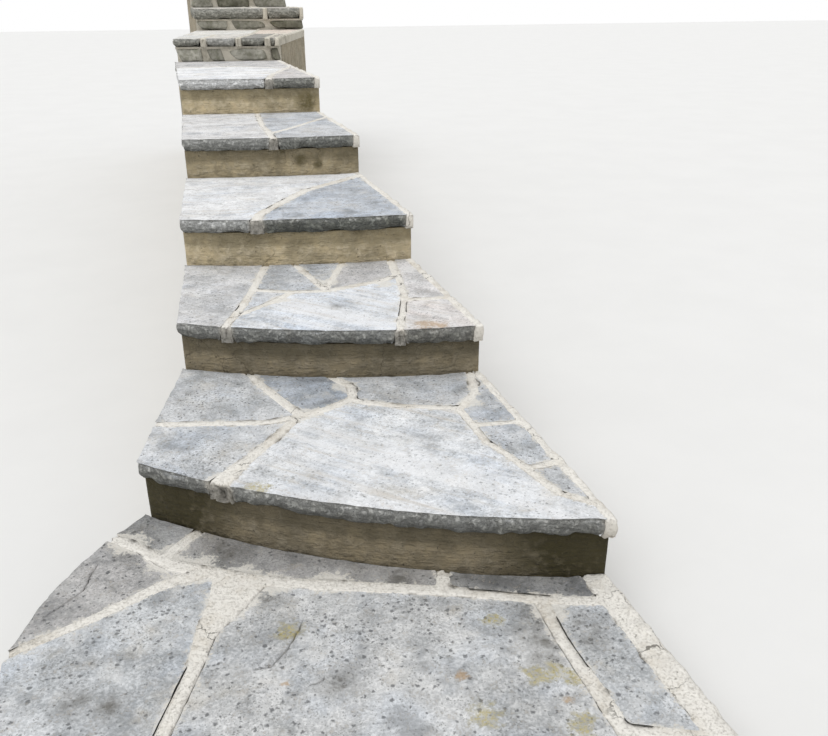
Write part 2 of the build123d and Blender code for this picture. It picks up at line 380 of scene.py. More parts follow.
# %% Second coat: pale and brown streaks of the bedding, then the stone's own tone
def bedded(colour, place, tone, band, course):
    """Broad pale streaks and narrow brown ones along one course, which show most on pale stones."""
    share = times(times(tone, tone), band, clamp=True)
    broad = place_group(bands, place, Angle=course, Along=1.2, Across=16.0, Low=0.40, High=0.62)["Value"]
    colour = laid_over(colour, broad, share, (0.80, 0.805, 0.815))
    narrow = place_group(bands, place, Angle=course, Along=1.9, Across=30.0, Low=0.52, High=0.7)["Value"]
    colour = laid_over(colour, times(narrow, share), 0.75, (0.51, 0.465, 0.40))
    return brightened(colour, scaled(tone, 0.68, 0.64))


# %% Third coat: lichen spots, large and small
def speckled(colour, place, crowded, cover, spot_scale):
    """Dark round lichen. Also gives the mask of the large spots, which stand off the stone a little."""
    large = place_group(lichen, place, Scale=spot_scale, Radius=0.43, Cover=cover, Gather=5.0)["Mask"]
    small = place_group(lichen, place, Scale=210.0, Radius=0.5, Cover=cover, Gather=13.0)["Mask"]
    colour = laid_over(colour, large, times(crowded, 0.9), (0.10, 0.105, 0.11))
    return laid_over(colour, small, times(crowded, 0.75), (0.17, 0.17, 0.16)), large


# %% Fourth coat: dirt and painted shade, moss, smeared mortar, rust and yellow crust
def weathered(colour, place, moss, fine, coarse):
    """What lies on a top by place, with painted shade in cracks and by the next riser. Each mark's rim is
    broken up by the patches of the stone.
    """
    near_dirt_and_shade, near_mortar, near_rust, near_crust = carried(place, "smudge", "smear", "rust", "yellow")
    # Dirt, and painted shade in cracks and by the next riser, darken the top.
    dirt_and_shade_share = times(near_dirt_and_shade, scaled(coarse, 0.6, 0.35), clamp=True)
    colour = blend(dirt_and_shade_share, colour, rgb(0.12, 0.112, 0.095))
    colour = laid_over(colour, patchy(place, 16.0, 0.5, 0.7), moss, (0.17, 0.18, 0.09))
    ragged = plus(times(coarse, 0.4), times(fine, 0.25))
    smeared = between(minus(near_mortar, ragged), -0.12, 0.3)
    colour = laid_over(colour, smeared, 0.75, (0.86, 0.83, 0.76))
    rusted = between(minus(near_rust, ragged), -0.15, 0.5)
    colour = laid_over(colour, rusted, 0.6, (0.50, 0.31, 0.13))
    crusted = between(minus(near_crust, ragged), -0.05, 0.25)
    return laid_over(colour, crusted, scaled(fine, 0.6, 0.12), (0.46, 0.385, 0.12))


# %% The split sides
def split_side(place, dark, light, clumps):
    """The colour of the sides: clumps and layers, washed pale, painted shade lower down, a painted highlight
    on the chipped top edge, or mortared.
    """
    under, near_mortar, pale_side = carried(place, "under", "smear", "side")
    seams = streaky(place, 25.0, 80.0, 0.42, 0.62)
    mixed = plus(times(clumps, 0.5), times(seams, 0.6))
    # Painted shade: the side darkens towards its bottom.
    share = minus(mixed, times(under, 0.4), clamp=True)
    colour = blend(share, rgb(*dark), rgb(*light))
    washed = times(pale_side, scaled(seams, 0.5, 0.5))
    # Painted shade: the pale face fades towards the bottom of the side.
    colour = blend(times(washed, scaled(under, -0.9, 1.3), clamp=True), colour, rgb(0.95, 0.96, 0.96))
    # Painted highlight along the chipped top edge.
    top_edge_highlight = minus(1.0, between(under, 0.0, 0.4))
    colour = laid_over(colour, top_edge_highlight, scaled(clumps, 0.55, 0.1), (0.58, 0.58, 0.55))
    pasted = times(times(near_mortar, 1.7), plus(clumps, 0.45), clamp=True)
    return laid_over(colour, pasted, 0.85, (0.74, 0.70, 0.61))


# %% Flagstone recipe
def flagstone(name, dark, light, edge_dark, edge_light, band, course, ledge, spot, spot_scale, moss):
    """A split stone: its colours, then its bands, their direction, the painted shade along its ledges, its
    spots and moss.
    """
    material, shader, place, up = new_material(name)
    tone, tint, near_spots = carried(place, "tone", "tint", "spots")
    crowded = minus(1.35, tone, clamp=True)
    fine = patchy(place, 130.0, 0.40, 0.60)
    coarse = patchy(place, 30.0, 0.4, 0.62)
    clumps = patchy(place, 60.0, 0.38, 0.62)
    crystals = place_group(grain, place, Scale=300.0)
    layers = place_group(riven, place, Scale=5.5, Layers=10.0)
    colour = stone_body(place, dark, light, tint, crowded, fine, coarse, crystals["Specks"])
    colour = bedded(colour, place, tone, band, course)
    # Painted shade: a dark line where each thin layer steps down.
    colour = laid_over(colour, layers["Edge"], ledge, (0.10, 0.10, 0.09))
    colour, large = speckled(colour, place, crowded, scaled(near_spots, 0.9, spot), spot_scale)
    colour = weathered(colour, place, moss, fine, coarse)
    standing = minus(1.0, between(up, 0.3, 0.8))
    colour = blend(times(standing, 0.9), colour, split_side(place, edge_dark, edge_light, clumps))
    ledge_height = times(layers["Height"], scaled(standing, -2.0, 2.0))
    relief = plus(times(crystals["Height"], 0.45), ledge_height)
    side_lumps = times(times(clumps, standing), 3.2)
    relief = plus(plus(relief, times(fine, 0.25)), side_lumps)
    relief = minus(relief, times(large, 0.15))
    finish_surface(shader, colour, scaled(fine, 0.1, 0.82), relief, 0.003)
    return material


# %% The four kinds of flag
brown_edge = ((0.045, 0.045, 0.030), (0.175, 0.175, 0.135))
flag_materials = {
    "landing": flagstone(
        "speckled flagstone", (0.34, 0.355, 0.365), (0.90, 0.91, 0.915), *brown_edge,
        band=0.15, course=0.8, ledge=0.03, spot=0.62, spot_scale=80.0, moss=0.03,
    ),
    "flagstone": flagstone(
        "banded flagstone", (0.36, 0.375, 0.385), (0.89, 0.905, 0.925), *brown_edge,
        band=1.0, course=0.8, ledge=0.04, spot=0.5, spot_scale=110.0, moss=0.02,
    ),
    "pale_flagstone": flagstone(
        "pale flagstone", (0.47, 0.475, 0.48), (0.96, 0.97, 0.98), (0.055, 0.057, 0.040), (0.24, 0.245, 0.20),
        band=0.8, course=0.12, ledge=0.3, spot=0.25, spot_scale=90.0, moss=0.04,
    ),
    "mossy_flagstone": flagstone(
        "mossy flagstone", (0.54, 0.53, 0.48), (0.97, 0.95, 0.90), (0.12, 0.12, 0.09), (0.48, 0.47, 0.40),
        band=0.5, course=0.1, ledge=0.1, spot=0.35, spot_scale=70.0, moss=0.25,
    ),
}
print("flag materials:", list(flag_materials))

# %% [markdown]
# ### Mortar
# The joints are pointed by hand with pale sandy mortar. It is cream, with grains of
# sand, crumbs, hairline cracks, and grey where dirt settles. One recipe makes two mixes:
# a clean sandy one for the lower steps, and an older mossy one for the top steps and the
# rubble. Below the top of a nosing the mortar gets painted shade, darker further down.


# %% Mortar recipe
def mortar_mix(name, clean, dirt, dirt_share):
    """Sandy mortar with its clean colour, and how much of it has gone grey."""
    material, shader, place, up = new_material(name)
    near_dirt_and_shade, = carried(place, "smudge")
    lumps = patchy(place, 70.0, 0.38, 0.62)
    crumbs = patchy(place, 170.0, 0.52, 0.66)
    grimy = times(patchy(place, 8.0, 0.46, 0.66), scaled(lumps, -0.6, 1.0))
    colour = blend(times(grimy, dirt_share), rgb(*clean), rgb(*dirt))
    colour = laid_over(colour, crumbs, 0.3, (0.52, 0.47, 0.38))
    sandy = place_group(grain, place, Scale=380.0)
    colour = laid_over(colour, sandy["Specks"], 0.25, (0.30, 0.25, 0.18))
    dots = place_group(lichen, place, Scale=120.0, Radius=0.35, Cover=0.2, Gather=6.0)["Mask"]
    colour = laid_over(colour, dots, 0.6, (0.16, 0.15, 0.12))
    thin = place_group(hairlines, place, Scale=9.0, Width=0.010, Cover=0.47)["Mask"]
    colour = laid_over(colour, thin, 0.75, (0.09, 0.08, 0.06))
    standing = minus(1.0, between(up, 0.2, 0.7))
    colour = laid_over(colour, standing, 0.4, (0.36, 0.32, 0.25))
    # Painted shade below the tops of the nosings.
    colour = laid_over(colour, near_dirt_and_shade, scaled(lumps, -0.3, 1.0), (0.115, 0.11, 0.095))
    relief = plus(times(sandy["Height"], 0.8), times(patchy(place, 22.0, 0.2, 0.8), 0.8))
    relief = minus(relief, times(plus(crumbs, thin), 0.4))
    finish_surface(shader, colour, scaled(lumps, 0.08, 0.88), relief, 0.003)
    return material


pointing_material = mortar_mix("sandy mortar", (0.97, 0.94, 0.875), (0.60, 0.53, 0.42), 0.5)
old_pointing_material = mortar_mix("mossy mortar", (0.80, 0.76, 0.66), (0.24, 0.23, 0.16), 0.7)

# %% [markdown]
# ### Ochre render
# The lower risers are coated with a sand and cement render, finished with a float. It
# is ochre with yellower and greyer clouds. Damp has left brown and black mould in drips.
# It is darker towards the foot and at the ends, with a band of painted shadow under the
# nosing. The masonry sides have the same coat, older and without the painted shadow.


# %% Render recipe
def render_coat(name, clean, cloud_colour, mould_share, nosing_shadow):
    """Float-finished render with mould, which is a soft mask stretched downwards."""
    material, shader, place, up = new_material(name)
    near_dirt_and_shade, under, tone = carried(place, "smudge", "under", "tone")
    small = patchy(place, 38.0, 0.42, 0.66)
    colour = blend(patchy(place, 6.0, 0.35, 0.65), rgb(*clean), rgb(*cloud_colour))
    colour = laid_over(colour, small, 0.4, (0.60, 0.53, 0.40))
    colour = laid_over(colour, patchy(place, 15.0, 0.46, 0.66), 0.55, (0.20, 0.165, 0.10))
    colour = laid_over(colour, streaky(place, 7.0, 4.5, 0.52, 0.74), mould_share, (0.15, 0.13, 0.08))
    # Darker towards the foot of the riser.
    foot_band = between(plus(under, times(small, 0.12)), 0.88, 1.06)
    colour = laid_over(colour, foot_band, 0.5, (0.13, 0.115, 0.075))
    # Painted shadow: a dark band at the top of the riser, under the nosing.
    painted_nosing_shadow = minus(1.0, between(under, 0.19, 0.35))
    colour = laid_over(colour, painted_nosing_shadow, nosing_shadow, (0.10, 0.085, 0.045))
    stained = times(near_dirt_and_shade, scaled(small, -0.45, 1.35), clamp=True)
    colour = blend(stained, colour, rgb(0.068, 0.055, 0.014))
    strokes = streaky(place, 16.0, 130.0, 0.36, 0.6)
    colour = laid_over(colour, minus(1.0, strokes), 0.14, (0.15, 0.12, 0.07))
    pits = place_group(lichen, place, Scale=75.0, Radius=0.24, Cover=0.3, Gather=9.0)["Mask"]
    colour = laid_over(colour, pits, 0.7, (0.10, 0.08, 0.05))
    thin = place_group(hairlines, place, Scale=5.5, Width=0.006, Cover=0.42)["Mask"]
    colour = laid_over(colour, thin, 0.6, (0.10, 0.08, 0.05))
    sandy = place_group(grain, place, Scale=330.0)
    colour = laid_over(colour, sandy["Specks"], 0.4, (0.17, 0.13, 0.07))
    relief = plus(times(sandy["Height"], 0.5), times(strokes, 0.6))
    relief = plus(relief, times(small, 1.2))
    relief = plus(relief, times(streaky(place, 45.0, 75.0, 0.3, 0.7), 1.2))
    relief = minus(relief, plus(pits, thin))
    finish_surface(shader, brightened(colour, tone), scaled(small, 0.06, 0.9), relief, 0.0028)
    return material


riser_material = render_coat("ochre render", (0.51, 0.42, 0.265), (0.33, 0.28, 0.185), 0.5, 0.55)
side_material = render_coat("old ochre render", (0.42, 0.36, 0.26), (0.32, 0.285, 0.21), 0.35, 0.0)

# %% [markdown]
# ### Rubble
# The upper risers are built of roughly split stones that never see the sun: grey-brown,
# almost black in places, with moss on every ledge and a few pale faces.


# %% Rubble recipe
def rubble_stone(name):
    """Rough stone in its own tone, with moss where it looks up."""
    material, shader, place, up = new_material(name)
    tone, = carried(place, "tone")
    dark = blend(tone, rgb(0.10, 0.095, 0.07), rgb(0.34, 0.33, 0.28))
    pale = blend(tone, rgb(0.24, 0.23, 0.18), rgb(0.66, 0.64, 0.57))
    colour = blend(patchy(place, 12.0, 0.3, 0.7), dark, pale)
    tufts = patchy(place, 40.0, 0.45, 0.65)
    mossy = scaled(between(up, 0.1, 0.8), 0.5, 0.35)
    colour = laid_over(colour, tufts, mossy, (0.085, 0.095, 0.035))
    crystals = place_group(grain, place, Scale=300.0)
    relief = plus(times(crystals["Height"], 0.4), times(tufts, 0.8))
    finish_surface(shader, colour, scaled(tufts, 0.08, 0.88), relief, 0.003)
    return material


rubble_material = rubble_stone("rubble stone")

# %% [markdown]
# ## From an exact solid to a worn stone
# A CAD flag is a clean prism. The real one has the same outline in plan, but its corners
# are blunt, its edges are chipped, its sides show the split layers, and its top dips by
# a millimetre or two. Each stone is therefore built afresh on the outline of its solid:
# the outline is divided evenly, rows of points run down the sides, and the top is filled
# with triangles. Every change goes inwards or down, so that the stone stays inside its
# solid. Blender's own noise gives the same numbers on each run.


# %% Separate the solids of a node
def split_solids(node):
    """The separate solids of a CAD node, each as its faces, and a face as its points."""
    mesh = bmesh.new()
    mesh.from_mesh(nodes[node].data)
    bmesh.ops.remove_doubles(mesh, verts=mesh.verts, dist=0.00001)
    taken = set()
    solids = []
    for first in mesh.faces:
        if first in taken:
            continue
        taken.add(first)
        found = [first]
        for face in found:
            for edge in face.edges:
                fresh = [other for other in edge.link_faces if other not in taken]
                taken.update(fresh)
                found.extend(fresh)
        solids.append([[point.co.copy() for point in face.verts] for face in found])
    mesh.free()
    return solids


print("flags on the landing:", len(split_solids("landing_flags")))


# %% Read the outlines of a solid
def rounded_key(point):
    """A point in plan as whole tenths of a millimetre, to tell equal points."""
    return (round(point.x * 10000), round(point.y * 10000))


def loops_at(faces, level):
    """The closed outlines of the flat faces at one level, in plan, anticlockwise outside."""
    following = {}
    plan = {}
    sides = set()
    for face in faces:
        if max(abs(point.z - level) for point in face) > 0.0002:
            continue
        area = sum(a.x * b.y - b.x * a.y for a, b in zip(face, face[1:] + face[:1]))
        ring = face if area > 0 else face[::-1]
        for a, b in zip(ring, ring[1:] + ring[:1]):
            plan[rounded_key(a)] = Vector((a.x, a.y))
            sides.add((rounded_key(a), rounded_key(b)))
    for a, b in sorted(sides):
        if (b, a) not in sides:
            following.setdefault(a, []).append(b)
    loops = []
    while following:
        start = here = min(following)
        loop = []
        while not loop or here != start:
            loop.append(here)
            after = following[here].pop()
            if not following[here]:
                del following[here]
            here = after
        loops.append([plan[key] for key in loop])
    return loops


def top_loops(faces):
    """The outlines of a solid's top, and its bottom and top levels."""
    levels = [point.z for face in faces for point in face]
    return loops_at(faces, max(levels)), min(levels), max(levels)


def block_outline(faces):
    """The one outline of a solid without holes, and its bottom and top levels."""
    loops, bottom, top = top_loops(faces)
    return max(loops, key=len), bottom, top


print("outlines of the landing's mortar:", len(top_loops(split_solids("landing_mortar")[0])[0]))


# %% Divide an outline evenly and blunt its corners
def divided(loop, spacing):
    """The same outline with points about one spacing apart, as an array."""
    points = []
    for a, b in zip(loop, loop[1:] + loop[:1]):
        count = max(1, round((b - a).length / spacing))
        points.extend(a.lerp(b, k / count) for k in range(count))
    return np.array([(point.x, point.y) for point in points])


def blunted(outline, passes):
    """Each pass moves every point towards its neighbours, which rounds the corners."""
    for _ in range(passes):
        outline = 0.5 * outline + 0.25 * (np.roll(outline, 1, axis=0) + np.roll(outline, -1, axis=0))
    return outline


def inward_normals(outline):
    """Unit vectors that point into an anticlockwise outline."""
    course = np.roll(outline, -1, axis=0) - np.roll(outline, 1, axis=0)
    normal = np.stack([-course[:, 1], course[:, 0]], axis=1)
    return normal / np.maximum(np.linalg.norm(normal, axis=1, keepdims=True), 1e-9)


# %% Find places inside an outline
def inside(points, outline):
    """Which points lie inside an outline, by counting the sides that they see to their right."""
    x, y = points[:, 0][:, None], points[:, 1][:, None]
    a, b = outline, np.roll(outline, -1, axis=0)
    spans = (a[:, 1][None, :] > y) != (b[:, 1][None, :] > y)
    rise = b[:, 1] - a[:, 1]
    rise = np.where(np.abs(rise) < 1e-12, 1e-12, rise)
    crossing = a[:, 0][None, :] + (y - a[:, 1][None, :]) * ((b[:, 0] - a[:, 0]) / rise)[None, :]
    return (np.sum(spans & (crossing > x), axis=1) % 2) == 1


def nearest_gaps(points, others):
    """How far each point lies from the nearest of some others, worked out in batches."""
    nearest = np.full(len(points), 1e9)
    for part in np.array_split(np.arange(len(points)), max(1, len(points) // 1500)):
        nearest[part] = np.linalg.norm(points[part][:, None, :] - others[None, :, :], axis=2).min(axis=1)
    return nearest


def scattered(outline, spacing, clearance):
    """Points in staggered rows inside an outline, kept clear of it."""
    low, high = outline.min(axis=0), outline.max(axis=0)
    points = []
    for k, row in enumerate(np.arange(low[1], high[1], spacing * 0.87)):
        across = np.arange(low[0] + (k % 2) * spacing / 2, high[0], spacing)
        points.append(np.stack([across, np.full(len(across), row)], axis=1))
    points = np.concatenate(points)
    points = points[inside(points, outline)]
    return points[nearest_gaps(points, outline) > clearance] if len(points) else points


# %% Fill an outline with triangles
def triangulated(plan, ties, enclosed):
    """Triangles over points in plan that keep some ties as edges, and where each point went.

    With 1 only the triangles that the ties enclose are made, and with 0 all of them.
    """
    made = geometry.delaunay_2d_cdt(plan, ties, [], enclosed, 1e-7)
    went = {source: k for k, sources in enumerate(made[3]) for source in sources}
    return made[0], [list(face) for face in made[2]], went


def ring_ties(start, count):
    """The sides of a closed ring of points."""
    return [(start + k, start + (k + 1) % count) for k in range(count)]


def fill(outline, inner, lines=()):
    """Triangles over an outline, inner points and open lines.

    Returns the points, the triangles, and where the outline's and each line's points went.
    """
    plan = [Vector(point) for point in outline] + [Vector(point) for point in inner]
    ties = ring_ties(0, len(outline))
    starts = []
    for line in lines:
        starts.append(len(plan))
        ties.extend((len(plan) + k, len(plan) + k + 1) for k in range(len(line) - 1))
        plan.extend(Vector(point) for point in line)
    points, triangles, went = triangulated(plan, ties, 1)
    on_lines = [[went[start + k] for k in range(len(line))] for start, line in zip(starts, lines)]
    return points, triangles, [went[k] for k in range(len(outline))], on_lines


# %% [markdown]
# ### Cracks
# A crack is a narrow groove, 10 mm deep, which wanders a little along its course. It is
# cut into the top as five lines of points: one along its bottom, two beside that at the
# same depth, and two for its lips, which stay level. It closes towards both ends.


# %% A crack as five lines
def noise_at(x, y, scale, level):
    """Blender's noise at a place in plan, about -1 to 1, with so many swells to the metre."""
    return noise.noise(Vector((x * scale, y * scale, level)))


def crack_lines(course, spacing=0.007, widths=(0.0010, 0.0023), stray=0.004):
    """Splits a crack's course into short runs that stray a little, and gives its lines."""
    points = []
    for (x0, y0), (x1, y1) in zip(course, course[1:]):
        count = max(2, round(Vector((x1 - x0, y1 - y0)).length / spacing))
        for k in range(count):
            x, y = x0 + (x1 - x0) * k / count, y0 + (y1 - y0) * k / count
            shift = [noise_at(x, y, 60, level) * stray for level in (0.3, 9.7)]
            points.append(Vector((x + shift[0], y + shift[1])))
    points.append(Vector(course[-1]))
    lines = [[tuple(point) for point in points]]
    for width in widths:
        for side in (1, -1):
            line = []
            for k in range(1, len(points) - 1):
                ahead = (points[k + 1] - points[k - 1]).normalized()
                opening = min(1.0, 0.3 + 3.0 * min(k, len(points) - 1 - k) / len(points))
                wide = side * width * opening
                line.append(tuple(points[k] + Vector((-ahead.y, ahead.x)) * wide))
            lines.append(line)
    return lines


# %% [markdown]
# ### One worn block
# A block's look is a small table of sizes in metres: the spacing of its points, how far
# its rim wanders inwards, how round its top edge is (ease), how deep its split layers
# are, how far bites reach up from below (scallop), and how far its sides belly inwards.
# An edge in the open is worn more than one beside a joint.


# %% Wear along the rim
def unit_noise(x, y, z):
    """Blender's noise, kept between 0 and 1."""
    return min(1.0, max(0.0, 0.5 + 0.5 * noise.noise(Vector((x, y, z)))))


def rim_wear(outline, top, look, open_share):
    """For each point of a rim: how far it is set in, its rounding, its bites, and how free it is."""
    wear = []
    for x, y in outline:
        free = open_share(x, y) if open_share else 1.0
        wave = 0.6 * unit_noise(x * 9, y * 9, top * 7) + 0.4 * unit_noise(x * 31, y * 31, top * 7)
        nick = max(0.0, noise_at(x, y, 37, top * 11) - 0.25) * 2.2
        bite = max(0.0, noise_at(x, y, 13, top * 3) + 0.15) + 0.5 * max(0.0, noise_at(x, y, 41, top * 3))
        chip = 2.2 * free * max(0.0, noise_at(x, y, 17, top * 5) - 0.12)
        wander = look.get("inset", 0.0) + look["wander"] * wave * (0.35 + 0.65 * free)
        ease = look["ease"] * (0.55 + 0.6 * wave + nick + chip)
        scallop = look["scallop"] * bite * free + look.get("corner", 0.0) * (1 - free) ** 2
        wear.append((wander, ease, scallop, free))
    return wear


# %% Rows of points down the sides
def side_rows(height, look):
    """Each row's share of the way down the side, and its places across and down the rounded edge."""
    rows = [(0.0, 1 - sin(radians(angle)), 1 - cos(radians(angle))) for angle in (0, 32, 62, 90)]
    steps = max(1, round((height - 2 * look["ease"]) / look["row"]))
    rows.extend((k / steps, 0.0, 1.0) for k in range(1, steps + 1))
    return rows + [(1.0, 0.75, 1.9)]


def side_level(x, y, down, fall, wear, bottom, top, relief):
    """The level of one point of a side."""
    wander, ease, scallop, free = wear
    if down == 0.0:
        return top - relief(x, y) * (1 - 0.6 * (fall > 0)) - ease * fall
    if fall > 1.0:
        return bottom + scallop
    return top - ease - (top - bottom - scallop - 1.6 * ease) * down


def side_depth(x, y, z, down, tuck, fall, wear, look):
    """How far one point of a side is set in from the outline."""
    wander, ease, scallop, free = wear
    split = unit_noise(x * 21, y * 21, z * look["layers"])
    lump = unit_noise(x * 60, y * 60, z * 60)
    scoop = 1 - min(1.0, noise.voronoi(Vector((x * 26, y * 26, z * 40)))[0][0] / 0.75)
    rough = 0.3 * split + 0.25 * lump + 0.45 * scoop
    depth = wander + ease * tuck + look["split"] * rough * min(1.0, fall + down)
    depth += 0.5 * scallop * down * down
    belly = 0.4 if down < 0.5 else 1.0
    return depth + look.get("belly", 0.0) * free * belly * (1 - 2 * down) ** 2


# %% Points of the crown, the top inside the rim
crack_depth = 0.010
crack_clearance = 0.004


def crown_inside(rim, look, cracks):
    """Fills a rim with triangles. Also gives the points that lie at the bottom of a crack."""
    lines = [line for crack in cracks for line in crack_lines(crack)]
    inner = scattered(rim, look["cap"], look["cap"] * 0.6)
    if lines and len(inner):
        split_points = np.array([point for line in lines for point in line])
        inner = inner[nearest_gaps(inner, split_points) > crack_clearance]
    plan, triangles, went, on_lines = fill(rim, inner, lines)
    sunk = set()
    for k in range(0, len(lines), 5):
        for line in on_lines[k:k + 3]:
            sunk.update(line[1:-1])
    return plan, triangles, went, sunk


# %% Build one worn block
def worn_block(loop, bottom, top, look, relief, cracks=(), open_share=None):
    """A stone as points, faces, each point's share of the way down, and which points lie in a crack.

    Its look gives the sizes of its wear, relief how far its top dips at a place, and
    open_share how free its edge is there: 1 in the open, less beside a joint.
    """
    outline = blunted(divided(loop, look["spacing"]), look["blunt"])
    normals = inward_normals(outline)
    rim = rim_wear(outline, top, look, open_share)
    rows = side_rows(top - bottom, look)
    count = len(outline)
    points, unders = [], []
    for down, tuck, fall in rows:
        for (x, y), (nx, ny), wear in zip(outline, normals, rim):
            z = side_level(x, y, down, fall, wear, bottom, top, relief)
            depth = side_depth(x, y, z, down, tuck, fall, wear, look)
            points.append((x + nx * depth, y + ny * depth, z))
            unders.append(down)
    faces = []
    for row in range(len(rows) - 1):
        for a, b in ring_ties(row * count, count):
            faces.append((a, a + count, b + count, b))
    crown = np.array([point[:2] for point in points[:count]])
    plan, triangles, went, sunk = crown_inside(crown, look, cracks)
    number_of = {place: k for k, place in enumerate(went)}
    cracked = set()
    for k, (x, y) in enumerate(plan):
        if k in number_of:
            continue
        number_of[k] = len(points)
        if k in sunk:
            cracked.add(len(points))
        points.append((x, y, top - relief(x, y) - crack_depth * (k in sunk)))
        unders.append(0.0)
    faces.extend([number_of[k] for k in face] for face in triangles)
    start = (len(rows) - 1) * count
    foot = np.array([point[:2] for point in points[start:start + count]])
    plan, triangles, went, on_lines = fill(foot, np.zeros((0, 2)))
    foot_of = {place: start + k for k, place in enumerate(went)}
    faces.extend([foot_of[k] for k in face[::-1]] for face in triangles if all(k in foot_of for k in face))
    return points, faces, unders, cracked


# %% Join blocks into one piece
carried_values = ("tone", "tint", "side", "under", "smear", "yellow", "smudge", "spots", "rust")


def make_piece(name, blocks, material, replaced):
    """One object from several blocks. A block's values are one number or one for each point."""
    points, faces = [], []
    values = {value: [] for value in carried_values}
    for block in blocks:
        base = len(points)
        points.extend(block["points"])
        faces.extend([k + base for k in face] for face in block["faces"])
        for value in carried_values:
            given = block.get(value, 0.0)
            values[value].extend(given if isinstance(given, list) else [given] * len(block["points"]))
    mesh = bpy.data.meshes.new(name)
    mesh.from_pydata(points, [], faces)
    for value, numbers in values.items():
        if any(numbers):
            mesh.attributes.new(value, "FLOAT", "POINT").data.foreach_set("value", numbers)
    mesh.polygons.foreach_set("use_smooth", [True] * len(mesh.polygons))
    mesh.validate()
    mesh.update()
    piece = bpy.data.objects.new(name, mesh)
    scene.collection.objects.link(piece)
    mesh.materials.append(material)
    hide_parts(*replaced)
    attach(piece, "root")
    print(name, "blocks", len(blocks), "faces", len(mesh.polygons))


# %% [markdown]
# ## The flags
# The dips of a top are of three sizes: a slow swell, ledges one layer deep, and a fine
# roughness. The ledges are a slow noise that is cut into steps, as contour lines are on a
# map. The landing and the first steps are seen from close by and get finer points.


# %% Relief of a riven top
layer = 0.0012


def riven_top(seed):
    """A function that gives how far a top dips at a place, in metres, with ledges one layer deep."""
    def dip(x, y):
        swell = noise_at(x, y, 3.1, seed)
        rough = noise.fractal(Vector((x * 26, y * 26, seed)), 1.0, 2.0, 3)
        stack = 2.4 * swell + 0.35 * rough
        within = stack - floor(stack)
        ledge = floor(stack) + min(1.0, max(0.0, (within - 0.8) / 0.2))
        depth = layer * (1.4 - ledge) * 0.5 + 0.0006 * (1 - swell) + 0.0003 * rough
        return min(max(depth, 0.0), 2.4 * layer)
    return dip


def hashed(x, y, seed):
    """A repeatable value from 0 to 1 for a place."""
    return noise.cell(Vector((x * 1000.3, y * 777.7, seed * 31.1)))


print("deepest dip in millimetres:", 2400 * layer)

# %% [markdown]
# Each flag has its own tone, from dark to light, its own tint, from pink at -1 to blue
# at 1, and its own pale sides. The table names a place on each stone of the near steps,
# in metres. The mossy steps above take theirs from the noise.

# %% Tone, tint and side by place
stone_tones = {
    "landing": [
        (-0.21, -3.54, 0.50, -0.05, 0.1), (-0.64, -3.37, 0.52, 0.2, 0.1), (-0.77, -3.11, 0.22, -0.25, 0.1),
        # The last three landing stones form the back row by the riser: their low tones are partly dirt,
        # partly painted shade.
        (0.37, -3.72, 0.50, 0.15, 0.1), (-0.59, -2.91, 0.04, -0.1, 0.0), (-0.16, -3.19, -0.05, -0.25, 0.0),
        (0.25, -3.41, -0.30, -0.1, 0.0),
    ],
    "step_1": [
        (-0.37, -2.54, 0.47, 0.0, 0.2), (-0.46, -2.86, 0.55, 0.15, 0.25), (-0.09, -2.56, 0.30, 0.75, 0.0),
        (0.02, -3.04, 0.82, 0.1, 0.25), (0.22, -2.65, 0.42, 0.0, 0.0), (0.41, -2.82, 0.36, 0.2, 0.0),
        (0.42, -3.05, 0.40, 0.25, 0.0), (0.43, -3.31, 0.38, 0.1, 0.0),
    ],
    "step_2": [
        (-0.32, -2.03, 0.60, -0.15, 0.3), (-0.04, -1.92, 0.38, 0.25, 0.0), (-0.16, -2.13, 0.50, 0.1, 0.0),
        (0.11, -1.89, 0.42, 0.1, 0.0), (0.26, -1.94, 0.38, -0.25, 0.0), (0.0, -2.40, 0.84, 0.45, 0.2),
        (0.42, -2.09, 0.65, -0.3, 0.0), (0.37, -2.52, 0.72, -0.55, 0.15),
    ],
    "step_3": [(-0.18, -1.47, 0.82, 0.0, 0.6), (0.24, -1.66, 0.38, 0.75, 0.0)],
    "step_4": [
        (-0.11, -0.70, 0.68, -0.1, 0.35), (0.27, -0.92, 0.44, 0.3, 0.15),
        (0.40, -0.40, 0.40, 0.4, 0.1),
    ],
    "step_5": [(-0.05, 0.25, 0.92, 0.0, 1.3), (0.35, 0.03, 0.50, -0.35, 0.15), (0.18, 1.10, 0.45, -0.2, 0.0)],
    "step_6": [(0.11, 1.51, 0.55, -0.15, 0.5)],
}
print("stones with their own tone:", sum(len(stones) for stones in stone_tones.values()))

# %% [markdown]
# Cracks in the stones and parted seams, where the mortar has come away from a stone, are
# given as courses of places in plan.

